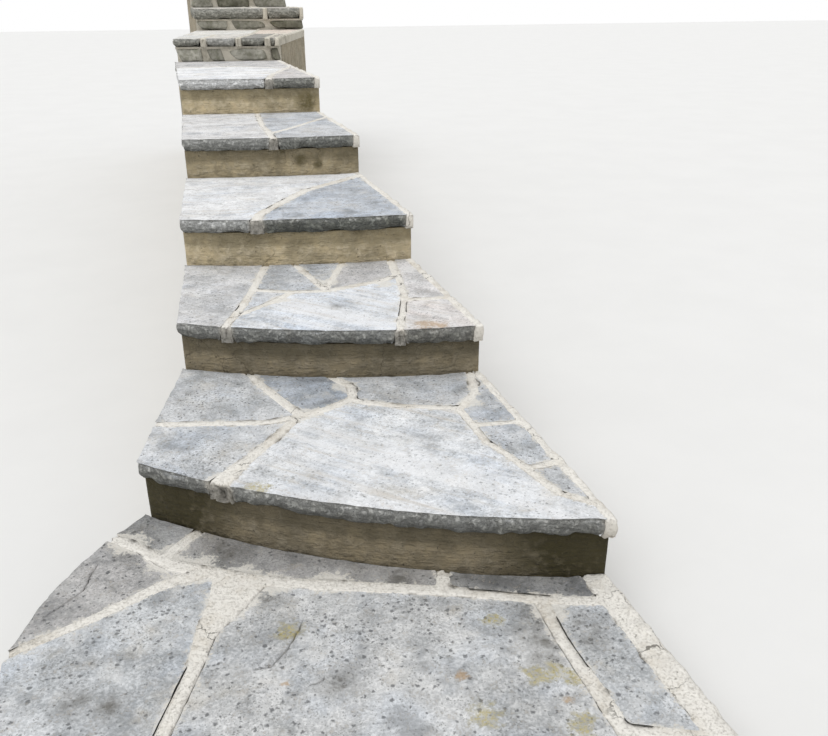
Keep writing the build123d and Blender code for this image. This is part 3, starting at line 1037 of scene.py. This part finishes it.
# %% Cracks and parted seams by place
stone_cracks = {
    "landing": [
        [(-0.718, -3.016), (-0.738, -3.068), (-0.752, -3.120), (-0.786, -3.155), (-0.838, -3.197)],
        [(-0.257, -3.374), (-0.282, -3.421), (-0.315, -3.470), (-0.355, -3.508), (-0.400, -3.505)],
        [(-0.247, -3.566), (-0.257, -3.581), (-0.281, -3.585), (-0.294, -3.595)],
    ],
    "step_3": [
        [(-0.32, -1.259), (-0.261, -1.234), (-0.132, -1.224), (-0.040, -1.250)],
        [(-0.31, -1.345), (-0.230, -1.364), (-0.127, -1.369)],
        [(0.016, -1.096), (0.080, -1.125)],
    ],
}
parted_seams = {
    "landing": [
        [(-0.319, -3.241), (-0.360, -3.271), (-0.398, -3.336), (-0.439, -3.367), (-0.474, -3.416),
         (-0.509, -3.479), (-0.541, -3.538), (-0.554, -3.587), (-0.62, -3.80)],
        [(-0.299, -3.241), (-0.270, -3.273), (-0.241, -3.265)],
        [(-0.534, -3.458), (-0.569, -3.552), (-0.593, -3.618), (-0.64, -3.78)],
        [(-0.615, -3.006), (-0.581, -3.071), (-0.559, -3.114)],
        [(-0.458, -3.140), (-0.528, -3.174), (-0.594, -3.197)],
        [
            (0.272, -3.504), (0.275, -3.570), (0.271, -3.674),
            (0.270, -3.762), (0.272, -3.826), (0.266, -3.889),
        ],
        [(0.308, -3.556), (0.286, -3.612), (0.287, -3.700)],
        [(0.288, -3.843), (0.300, -3.891), (0.378, -3.881), (0.432, -3.880)],
        [(0.153, -3.411), (0.227, -3.447), (0.306, -3.481)],
    ],
    "step_1": [
        [(0.052, -2.676), (0.084, -2.588), (0.103, -2.556)],
        [(0.313, -2.850), (0.318, -2.958), (0.336, -3.109), (0.381, -3.221), (0.429, -3.432)],
        [(-0.458, -3.052), (-0.439, -3.018)],
    ],
    "step_2": [
        [(-0.301, -2.322), (-0.249, -2.174), (-0.224, -2.087)],
        [(0.333, -2.193), (0.288, -2.371), (0.231, -2.584)],
    ],
    "step_3": [[(-0.118, -1.834), (-0.073, -1.652), (0.014, -1.481)]],
    "step_4": [[(0.106, -0.843), (0.095, -0.979)]],
}
print("cracks:", sum(map(len, stone_cracks.values())), "seams:", sum(map(len, parted_seams.values())))

# %% [markdown]
# Marks on the near treads are round patches: a place in plan and a radius, in metres. A
# patch is strongest at its middle, and the flagstone recipe breaks up its rim.

# %% Marks by place
mark_levels = {"landing": 0.17, "step_1": 0.35, "step_2": 0.52}
tread_marks = {
    "yellow": {
        "landing": [
            (0.159, -3.513, 0.040), (0.180, -3.700, 0.045), (0.222, -3.707, 0.045), (0.251, -3.729, 0.04),
            (0.038, -3.770, 0.055), (0.225, -3.832, 0.035), (0.204, -3.858, 0.04), (-0.296, -3.410, 0.05),
        ],
        "step_1": [(-0.309, -3.074, 0.05)],
    },
    "smudge": {
        "landing": [
            (-0.226, -3.605, 0.06), (-0.752, -3.487, 0.06), (-0.683, -3.520, 0.06), (-0.332, -3.285, 0.06),
            (0.253, -3.531, 0.09), (0.246, -3.607, 0.08), (0.225, -3.659, 0.06), (0.354, -3.595, 0.06),
            # The last three landing marks darken the back row by the riser: partly dirt, partly painted
            # shade.
            (0.344, -3.646, 0.05), (-0.64, -2.95, 0.10), (-0.40, -3.06, 0.10), (0.0, -3.30, 0.07),
        ],
        "step_1": [
            (-0.123, -3.171, 0.010), (-0.064, -3.190, 0.009),
            (-0.508, -2.875, 0.009), (-0.36, -2.98, 0.03),
        ],
        "step_2": [(-0.163, -2.085, 0.02), (0.08, -2.28, 0.04)],
    },
    "spots": {
        "landing": [
            (0.35, -3.59, 0.13), (0.43, -3.85, 0.10), (0.32, -3.75, 0.09),
            (0.02, -3.42, 0.12), (0.20, -3.40, 0.20),
            (0.37, -3.46, 0.12), (-0.64, -3.29, 0.16), (-0.62, -3.05, 0.12), (-0.74, -3.36, 0.12),
            (-0.33, -3.31, 0.12), (-0.18, -3.47, 0.13), (-0.41, -3.64, 0.12),
        ],
        "step_1": [
            (-0.46, -2.91, 0.14), (0.12, -2.80, 0.18), (0.37, -3.08, 0.12),
            (-0.38, -2.53, 0.14), (-0.25, -2.98, 0.16),
        ],
    },
    "rust": {
        "landing": [(0.029, -3.658, 0.022), (-0.334, -3.567, 0.013), (0.213, -3.783, 0.017)],
        "step_2": [(0.35, -2.545, 0.05), (0.31, -2.535, 0.05)],
    },
    "smear": {
        "landing": [
            (-0.643, -2.956, 0.07), (-0.557, -3.058, 0.08), (-0.486, -3.115, 0.08), (-0.383, -3.189, 0.08),
            (-0.303, -3.235, 0.06), (-0.172, -3.264, 0.06), (-0.411, -3.266, 0.09), (0.30, -3.52, 0.06),
        ],
        "step_1": [
            (-0.402, -3.009, 0.05), (0.038, -2.552, 0.06),
            (-0.106, -2.710, 0.05), (0.374, -2.787, 0.05),
        ],
        "step_2": [(-0.10, -2.16, 0.05), (0.10, -2.02, 0.05), (0.30, -2.10, 0.05)],
    },
}
print("kinds of mark:", list(tread_marks))


# %% How close points are to marks
def marked(points, marks):
    """How close each point is to the nearest mark, from 0 at a mark's rim to 1 at its middle."""
    shares = [0.0] * len(points)
    for k, point in enumerate(points):
        for x, y, z, radius in marks:
            gap = Vector((point[0] - x, point[1] - y, point[2] - z)).length
            shares[k] = max(shares[k], 1 - gap / radius)
    return shares


def tread_marked(points, step, value):
    """The same for one kind of mark on one tread."""
    marks = tread_marks[value].get(step, [])
    return marked(points, [(x, y, mark_levels[step], radius) for x, y, radius in marks])


# %% How close places are to outlines
def search_tree(places):
    """A search tree of places in plan."""
    tree = kdtree.KDTree(len(places))
    for k, (x, y) in enumerate(places):
        tree.insert((x, y, 0), k)
    tree.balance()
    return tree


def gap_to(tree, x, y):
    """How far a place lies from the nearest place of a search tree."""
    return tree.find((x, y, 0))[2]


def outline_tree(loops):
    """A search tree of the points along some outlines."""
    return search_tree(np.concatenate([divided(loop, 0.006) for loop in loops]))


# %% Treads, their kinds of stone and their wear
step_names = ["landing"] + ["step_" + str(k) for k in range(1, 9)]
flag_slots = ["flagstone"] * 3 + ["pale_flagstone"] * 3 + ["mossy_flagstone"] * 3
flag_looks = {
    "flagstone": dict(
        spacing=0.007, row=0.007, blunt=5, wander=0.008, ease=0.0045, split=0.017, layers=45, cap=0.010,
        scallop=0.011, corner=0.008, belly=0.009,
    ),
    "pale_flagstone": dict(
        spacing=0.009, row=0.008, blunt=3, wander=0.009, ease=0.005, split=0.016, layers=55, cap=0.014,
        scallop=0.010, corner=0.010, belly=0.010,
    ),
    "mossy_flagstone": dict(
        spacing=0.012, row=0.011, blunt=4, wander=0.008, ease=0.009, split=0.013, layers=60, cap=0.022,
        scallop=0.012, corner=0.022, belly=0.012,
    ),
}
print("treads:", len(step_names))


# %% What sets one stone apart
def middle_of(loop):
    """The mean of an outline's corners."""
    return sum(loop, Vector((0, 0))) / len(loop)


def stone_character(step, middle, plan):
    """A stone's tone, tint and side: from the table where it names a place on it, else from noise."""
    character = 0.3 + 0.5 * hashed(middle.x, middle.y, 1), 0.6 * hashed(middle.x, middle.y, 2) - 0.4, 0.15
    for x, y, *named in stone_tones.get(step, []):
        if inside(np.array([(x, y)]), plan)[0]:
            character = named
    return character


def cracks_inside(step, plan):
    """The parts of a tread's cracks that lie on one stone."""
    parts = []
    for crack in stone_cracks.get(step, []):
        parts.append([place for place, held in zip(crack, inside(np.array(crack), plan)) if held])
    return [part for part in parts if len(part) > 1]


# %% Dress one flag
worn_reach = 0.03
smear_reach = 0.022
foot_reach = 0.05
crack_shade = 1.5


def dressed_flag(step, solid, look, relief, joints, feet):
    """One flag as a block, with what lies near its joints and at marks, and dirt with painted shade near the
    next riser.
    """
    loop, bottom, top = block_outline(solid)
    plan = divided(loop, 0.05)
    tone, tint, side = stone_character(step, middle_of(loop), plan)

    def away_from_joint(x, y):
        return min(1.0, gap_to(joints, x, y) / worn_reach)

    points, faces, unders, cracked = worn_block(
        loop, bottom, top, look, relief, cracks_inside(step, plan), away_from_joint
    )
    block = dict(points=points, faces=faces, tone=tone, tint=tint, side=side, under=unders)
    for value in tread_marks:
        block[value] = tread_marked(points, step, value)
    for k, (x, y, z) in enumerate(points):
        block["smear"][k] += 0.55 * max(0.0, 1 - gap_to(joints, x, y) / smear_reach)
        # Partly dirt, partly painted shade: the top darkens near the foot of the next riser.
        block["smudge"][k] = max(block["smudge"][k], 0.6 * max(0.0, 1 - gap_to(feet, x, y) / foot_reach))
    # Painted shade: the bottom of each crack is darkened.
    for k in cracked:
        block["smudge"][k] = crack_shade
    return block


# %% Make the flags of every tread
for number, (step, slot) in enumerate(zip(step_names, flag_slots)):
    joints = outline_tree(top_loops(split_solids(step + "_mortar")[0])[0])
    above = (step_names + ["end_wall"])[number + 1]
    riser = above + ("_riser" if number < 5 else "_riser_mortar" if number < 8 else "")
    feet = outline_tree(top_loops(split_solids(riser)[0])[0])
    relief = riven_top(number * 3.7)
    blocks = [
        dressed_flag(step, solid, flag_looks[slot], relief, joints, feet)
        for solid in split_solids(step + "_flags")
    ]
    finish = "landing" if number == 0 else slot
    make_piece(step + "_flagstones", blocks, flag_materials[finish], [step + "_flags"])

# %% [markdown]
# ## The pointing
# Mortar is pressed into a joint with a trowel, flush with the stones, and laps over their
# worn edges in ragged tongues. Mortar made exactly as wide as the CAD joint would leave
# dark slots there. Along the named seams, and here and there elsewhere, it has parted
# from the stone, and a thin gap shows. At an open edge it crumbles and is set back, most
# of all below a nosing. Its front and side are faced down to the bed.


# %% Find what lies beside a joint
def flag_tree(step):
    """A search tree of a tread's CAD flags, to ask whether a stone lies at a place."""
    mesh = nodes[step + "_flags"].data
    points = [vertex.co.copy() for vertex in mesh.vertices]
    return BVHTree.FromPolygons(points, [list(face.vertices) for face in mesh.polygons])


def under_stone(tree, x, y, level):
    """Whether a flag covers this place."""
    return tree.ray_cast(Vector((x, y, level + 0.1)), Vector((0, 0, -1)), 0.2)[0] is not None


def loop_area(loop):
    """The area inside an outline: below 0 where it runs clockwise round a hole."""
    after = np.roll(loop, -1, axis=0)
    return 0.5 * float(np.sum(loop[:, 0] * after[:, 1] - after[:, 0] * loop[:, 1]))


def within_loops(points, loops):
    """Which points lie inside the outer outlines and outside the holes."""
    return np.sum([inside(points, loop) for loop in loops], axis=0) % 2 == 1


# %% Divide the joints into triangles
pointing_spacing = 0.007


def pointing_plan(loops):
    """Triangles over all the joints of a tread. They keep every outline as an edge."""
    whole = np.concatenate(loops)
    outer = [loop for loop in loops if loop_area(loop) > 0]
    inner = np.concatenate([scattered(loop, pointing_spacing * 1.2, 0.0) for loop in outer])
    inner = inner[within_loops(inner, loops)]
    rims = search_tree(whole)
    clear = [(x, y) for x, y in inner if gap_to(rims, x, y) > pointing_spacing * 0.55]
    ties = []
    for loop in loops:
        ties.extend(ring_ties(len(ties), len(loop)))
    return triangulated([Vector(point) for point in whole] + [Vector(point) for point in clear], ties, 0)


# %% The level of the mortar
fillet_start, fillet_width = 0.43, 0.04


def trowelled(x, y, top, seed, by_edge):
    """Level of the mortar at a place: flush, a little wavy, and crumbled at its open edges."""
    wave = noise_at(x, y, 14, seed)
    lump = noise_at(x, y, 70, seed)
    crumble = noise_at(x, y, 38, seed + 2)
    fillet = min(1.0, max(0.0, (x - fillet_start) / fillet_width))
    heap = 0.003 + 0.007 * noise_at(x, y, 27, seed + 1)
    crumbled = by_edge * (0.0045 * crumble - 0.0035)
    level = top + 0.0026 + 0.0012 * wave + 0.0003 * lump + crumbled + fillet * heap
    return min(level, cad_box[1][2] - 0.0005)


# %% Where the mortar laps over a stone, and where it has parted from it
parted_reach = 0.0026
seam_reach = 0.014
seam_gaps = {"landing": -0.42}
stray_parting = 0.66


def has_parted(step, seams, x, y, seed):
    """Whether the mortar has come away at a place of its rim: along a seam, or by chance."""
    if seams is not None and gap_to(seams, x, y) < seam_reach:
        return noise_at(x, y, 22, seed) > seam_gaps.get(step, 0.0)
    return noise_at(x, y, 8, seed + 5) > stray_parting


def lap_at(x, y, seed):
    """How far the mortar laps over a stone: further in the strip along the straight side."""
    ragged = noise_at(x, y, 24, seed) + 0.6 * noise_at(x, y, 70, seed)
    return 0.0045 + (0.009 if x < 0.4 else 0.014) * max(0.0, ragged)


# %% Face the mortar down to its bed
beside_joint = 0.003
undercuts = {"step_1": 0.022}
skirt_slopes = (
    (0.007, 0.0015, 0.001), (0.010, 0.006, 0.004), (0.011, 0.35, 0.008),
    (0.011, 0.6, 0.007), (0.011, 0.85, 0.003), (0.011, 1.0, -0.004),
)


def kept_in(x, y, low, high):
    """A place in plan, kept inside a box."""
    return min(max(x, low[0]), high[0]), min(max(y, low[1]), high[1])


def skirt_swell(x, y, nx, ny, down, bulge, joint):
    """How far an open face of the mortar stands out: less in a nosing, and nothing at the far sides."""
    lumpy = noise_at(x, y, 30, down * 30 + joint["top"])
    if nx > 0.7 or ny > 0.6:
        return 0.0
    if x <= 0.44:
        return 0.5 * bulge - 0.011 + 0.004 * lumpy - joint["undercut"] * min(1.0, 1.6 * down / joint["deep"])
    return bulge - 0.004 + 0.005 * lumpy


def add_skirt(points, faces, loop, ring, joint):
    """Slopes the mortar on under the stones, and faces it down where the joint is open.

    Each slope says how far out, how far down and how bulged a row is. Down is in metres
    for the first two rows, and a share of the depth for the rest.
    """
    rows = [ring]
    for out, down, bulge in skirt_slopes:
        down = down if down < 0.02 else down * joint["deep"]
        row = []
        for (x, y), (nx, ny), first in zip(loop, -inward_normals(loop), ring):
            spots = [(x + nx * gap, y + ny * gap) for gap in (beside_joint, out + beside_joint)]
            covered = all(under_stone(joint["stones"], *spot, joint["top"]) for spot in spots)
            shift = out if covered else skirt_swell(x, y, nx, ny, down, bulge, joint)
            if first in joint["parted"]:
                shift = parted_reach
            level = points[first][2] if down < joint["deep"] else joint["top"]
            row.append(len(points))
            spot = kept_in(x + nx * shift, y + ny * shift, joint["low"], joint["high"])
            points.append((*spot, level - down))
        rows.append(row)
    for upper, lower in zip(rows, rows[1:]):
        for k, after in ring_ties(0, len(upper)):
            faces.append([upper[k], lower[k], lower[after], upper[after]])


# %% Build the mortar of one tread
open_edge_reach = 0.025


def pointing(step, seed):
    """The pointing of a tread as points and faces, down to its bed."""
    loops, bottom, top = top_loops(split_solids(step + "_mortar")[0])
    loops = [blunted(divided(loop, pointing_spacing), 5) for loop in loops]
    plan, triangles, went = pointing_plan(loops)
    low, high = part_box(step + "_mortar")
    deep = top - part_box(step + "_flags")[0][2]
    stones = flag_tree(step)
    joint = dict(
        stones=stones, top=top, deep=deep, low=low, high=high, undercut=undercuts.get(step, 0.0), parted=set()
    )
    courses = [[Vector(place) for place in seam] for seam in parted_seams.get(step, [])]
    seams = outline_tree([course + course[-2:0:-1] for course in courses]) if courses else None
    whole = np.concatenate(loops)
    inwards = np.concatenate([inward_normals(loop) for loop in loops])
    rim_of = {went[k]: k for k in range(len(whole))}
    open_edge = search_tree([
        (x, y) for (x, y), (nx, ny) in zip(whole, inwards)
        if not under_stone(stones, x - nx * beside_joint, y - ny * beside_joint, top)
    ])
    points = []
    for k, (x, y) in enumerate(plan):
        by_edge = max(0.0, 1 - gap_to(open_edge, x, y) / open_edge_reach)
        z = trowelled(x, y, top, seed, by_edge)
        if k in rim_of:
            nx, ny = inwards[rim_of[k]]
            inset = 0.0
            if by_edge == 0.0 and has_parted(step, seams, x, y, seed):
                joint["parted"].add(k)
                inset, z = -parted_reach, z - 0.002
            elif by_edge == 0.0:
                inset, z = -lap_at(x, y, seed), min(top + 0.0030, cad_box[1][2])
            elif by_edge > 0.7 and ny > -0.6:
                inset, z = 0.0035, z - 0.004
            x, y = x + nx * inset, y + ny * inset
        points.append((*kept_in(x, y, low, high), z))
    middles = np.array([sum((plan[k] for k in face), Vector((0, 0))) / len(face) for face in triangles])
    faces = [face for face, held in zip(triangles, within_loops(middles, loops)) if held]
    start = len(points)
    points.extend((x, y, top - deep) for x, y, z in points[:start])
    faces.extend([k + start for k in face[::-1]] for face in list(faces))
    base = 0
    for loop in loops:
        add_skirt(points, faces, loop, [went[base + k] for k in range(len(loop))], joint)
        base += len(loop)
    return points, faces


# %% Make the pointing and the bed of every tread
bed_look = dict(
    spacing=0.02, row=0.008, blunt=0, wander=0.002, ease=0.001, split=0.002, layers=60, cap=0.2,
    scallop=0.0, inset=0.008,
)
bed_thickness = 0.015
nosing_shade = {"step_6": 0.2, "step_7": 0.3, "step_8": 0.3}


def flat_top(x, y):
    """No dip: the block is covered by another."""
    return 0.0


for number, step in enumerate(step_names):
    points, faces = pointing(step, 2.3 + number)
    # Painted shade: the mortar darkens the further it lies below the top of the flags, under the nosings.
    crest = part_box(step + "_flags")[1][2]
    darkest = nosing_shade.get(step, 0.85)
    depths = [0.0 if x > 0.42 else min(1.0, max(0.0, (crest - z - 0.004) / 0.014)) for x, y, z in points]
    blocks = [dict(points=points, faces=faces, smudge=[darkest * depth for depth in depths])]
    solid = split_solids(step + "_mortar")[0]
    bottom = min(point.z for face in solid for point in face)
    for loop in loops_at(solid, bottom):
        points, faces, unders, cracked = worn_block(loop, bottom, bottom + bed_thickness, bed_look, flat_top)
        blocks.append(dict(points=points, faces=faces))
    mix = pointing_material if number < 6 else old_pointing_material
    make_piece(step + "_pointing", blocks, mix, [step + "_mortar"])

# %% [markdown]
# ## Risers, rubble and the masonry below
# A rendered riser is almost flat, but a float leaves long shallow waves, and its edges
# crumble. It needs the same rows of points as a flag, with smaller changes. The render
# was laid over the edge of the mortar bed, so risers and masonry are drawn up to the
# underside of the flags. Darker ends and two drips are marks, each with its own strength.


# %% Rendered risers
riser_look = dict(
    spacing=0.010, row=0.010, blunt=1, wander=0.0025, ease=0.003, split=0.0018, layers=30, cap=0.05,
    scallop=0.0,
)
riser_marks = {
    "step_1": [(-0.60, -2.89, 0.26, 0.30), (0.46, -3.51, 0.26, 0.32)],
    "step_4": [
        (0.215, -0.932, 0.773, 0.035), (0.294, -0.942, 0.752, 0.03), (-0.004, -0.900, 0.752, 0.010),
        (0.129, -0.921, 0.813, 0.014),
    ],
    "step_5": [(0.418, -0.053, 0.936, 0.085)],
}
riser_stains = {"step_1": (1.6, 1.0), "step_4": (2.0, 0.6), "step_5": (1.5, 0.65)}
# Each riser's brightness. The dark risers of steps 1 and 2 are partly damp and partly painted shade.
riser_tones = [0.8, 0.60, 0.60, 1.32, 0.93, 1.42]


def covered_block(solid, look):
    """A worn block on a solid's outline, drawn up through the mortar bed."""
    loop, bottom, top = block_outline(solid)
    points, faces, unders, cracked = worn_block(loop, bottom, top + bed_thickness, look, flat_top)
    return dict(points=points, faces=faces, under=unders)


for step, tone in zip(step_names, riser_tones):
    steep, darkest = riser_stains.get(step, (1.0, 1.0))
    blocks = [covered_block(solid, riser_look) for solid in split_solids(step + "_riser")]
    for block in blocks:
        shares = marked(block["points"], riser_marks.get(step, []))
        block.update(tone=tone, smudge=[darkest * min(1.0, steep * share) for share in shares])
    make_piece(step + "_rendered_riser", blocks, riser_material, [step + "_riser"])

# %% [markdown]
# Rubble stones differ more than flags. Each is narrowed towards its ends, and its ends
# are slanted. Those of step 6 take their tones from a list, from left to right, and each
# of the rest from its place. Their mortar is one strip set back behind their faces, so
# that it closes every gap between them.

# %% Rubble stones
rubble_look = dict(
    spacing=0.009, row=0.008, blunt=3, wander=0.002, ease=0.008, split=0.008, layers=55, cap=0.02,
    scallop=0.0,
)
rubble_tones = {"step_6": [0.75, 0.62, 0.48, 0.40]}


def split_roughly(points, seed):
    """Narrows a block towards its ends, slants them and rounds its face, as a hammer leaves a stone."""
    low = [min(point[k] for point in points) for k in range(3)]
    high = [max(point[k] for point in points) for k in range(3)]
    middle = [(a + b) / 2 for a, b in zip(low, high)]
    half = [(b - a) / 2 for a, b in zip(low, high)]
    tapers = [0.10 + 0.40 * hashed(seed, middle[0], k) for k in (5, 6)]
    slants = [0.016 * (hashed(seed, middle[0], k) - 0.5) for k in (7, 8)]
    shaped = []
    for x, y, z in points:
        along, height = (x - middle[0]) / half[0], (z - middle[2]) / half[2]
        slant = slants[along > 0]
        narrowed = 1 - tapers[along > 0] * abs(along) ** 3 - 0.06 * unit_noise(x * 18, y, seed)
        shorter = 1 - 0.05 * height ** 4 - abs(slant) / half[0]
        back = 0.007 * max(0.0, (high[1] - y) / (2 * half[1])) * (0.6 * along ** 4 + 0.6 * height ** 4)
        new_x = middle[0] + (x - middle[0]) * shorter + slant * height * abs(along)
        shaped.append((new_x, y + back, middle[2] + (z - middle[2]) * narrowed))
    return shaped


def left_end(faces):
    """Where a solid starts, from the left."""
    return min(point.x for face in faces for point in face)


for step in step_names[6:]:
    blocks = []
    named = list(rubble_tones.get(step, []))
    for solid in sorted(split_solids(step + "_riser_stones"), key=left_end):
        loop, bottom, top = block_outline(solid)
        middle = middle_of(loop)
        points, faces, unders, cracked = worn_block(loop, bottom, top, rubble_look, flat_top)
        tone = named.pop(0) if named else hashed(middle.x, middle.y, bottom)
        blocks.append(dict(points=split_roughly(points, bottom), faces=faces, tone=tone))
    make_piece(step + "_rubble", blocks, rubble_material, [step + "_riser_stones"])

# %% Mortar behind and between the rubble
backing_look = dict(
    spacing=0.009, row=0.009, blunt=0, wander=0.001, ease=0.002, split=0.005, layers=60, cap=0.05,
    scallop=0.0, inset=0.005,
)
for step in step_names[6:]:
    loops, bottom, top = top_loops(split_solids(step + "_riser_mortar")[0])
    spread = [point for loop in loops for point in loop]
    hull = [spread[k] for k in geometry.convex_hull_2d(spread)]
    points, faces, unders, cracked = worn_block(hull, bottom, top + bed_thickness, backing_look, flat_top)
    block = dict(points=points, faces=faces)
    make_piece(step + "_rubble_mortar", [block], old_pointing_material, [step + "_riser_mortar"])

# %% Masonry under the treads, and the end wall
masonry_look = dict(
    spacing=0.030, row=0.032, blunt=0, wander=0.003, ease=0.004, split=0.004, layers=24, cap=0.2,
    scallop=0.0,
)
for node in [step + "_core" for step in step_names] + ["end_wall"]:
    block = covered_block(split_solids(node)[0], masonry_look)
    block["tone"] = 1.0
    make_piece(node + "_masonry", [block], side_material, [node])

# %% [markdown]
# ## Floor and light
# A plain pale floor and soft light show the stone and nothing else. An even white sky
# gives most of the light, as on a clouded day. One large soft lamp from the upper left
# draws the shadows under the nosings. Rays that come straight from the camera see the
# sky as plain white, whatever light it gives.

# %% Floor
floor_size = 40.0
corners = [(x * floor_size, y * floor_size, 0) for x, y in ((-1, -1), (1, -1), (1, 1), (-1, 1))]
floor_mesh = bpy.data.meshes.new("floor")
floor_mesh.from_pydata(corners, [], [(0, 1, 2, 3)])
floor_object = bpy.data.objects.new("floor", floor_mesh)
scene.collection.objects.link(floor_object)
floor_material, shader, place, up = new_material("pale floor")
pale = blend(patchy(place, 2.0, 0.3, 0.7), rgb(0.86, 0.86, 0.85), rgb(0.88, 0.88, 0.87))
join(pale, shader.inputs["Base Color"])
shader.inputs["Roughness"].default_value = 0.9
floor_mesh.materials.append(floor_material)
print("floor reaches", floor_size, "m each way")

# %% Sky
sky_light = 0.62
world = bpy.data.worlds.new("clouded sky")
scene.world = world
world.use_nodes = True
sky = world.node_tree.nodes["Background"]
sky.inputs["Color"].default_value = rgb(1.0, 1.0, 1.0)
rays = put(world.node_tree, "LightPath").outputs
seen = calc("MAXIMUM", rays["Is Camera Ray"], rays["Is Glossy Ray"])
seen = calc("MAXIMUM", seen, rays["Is Transmission Ray"])
join(scaled(seen, 1.0 - sky_light, sky_light), sky.inputs["Strength"])
print("sky light:", sky_light)

# %% Lamp
lamp_data = bpy.data.lights.new("soft lamp", "SUN")
lamp_data.energy = 1.5
lamp_data.angle = radians(50)
lamp = bpy.data.objects.new("soft lamp", lamp_data)
scene.collection.objects.link(lamp)
lamp.rotation_euler = (radians(28), radians(-24), 0)
print("lamp strength:", lamp_data.energy)
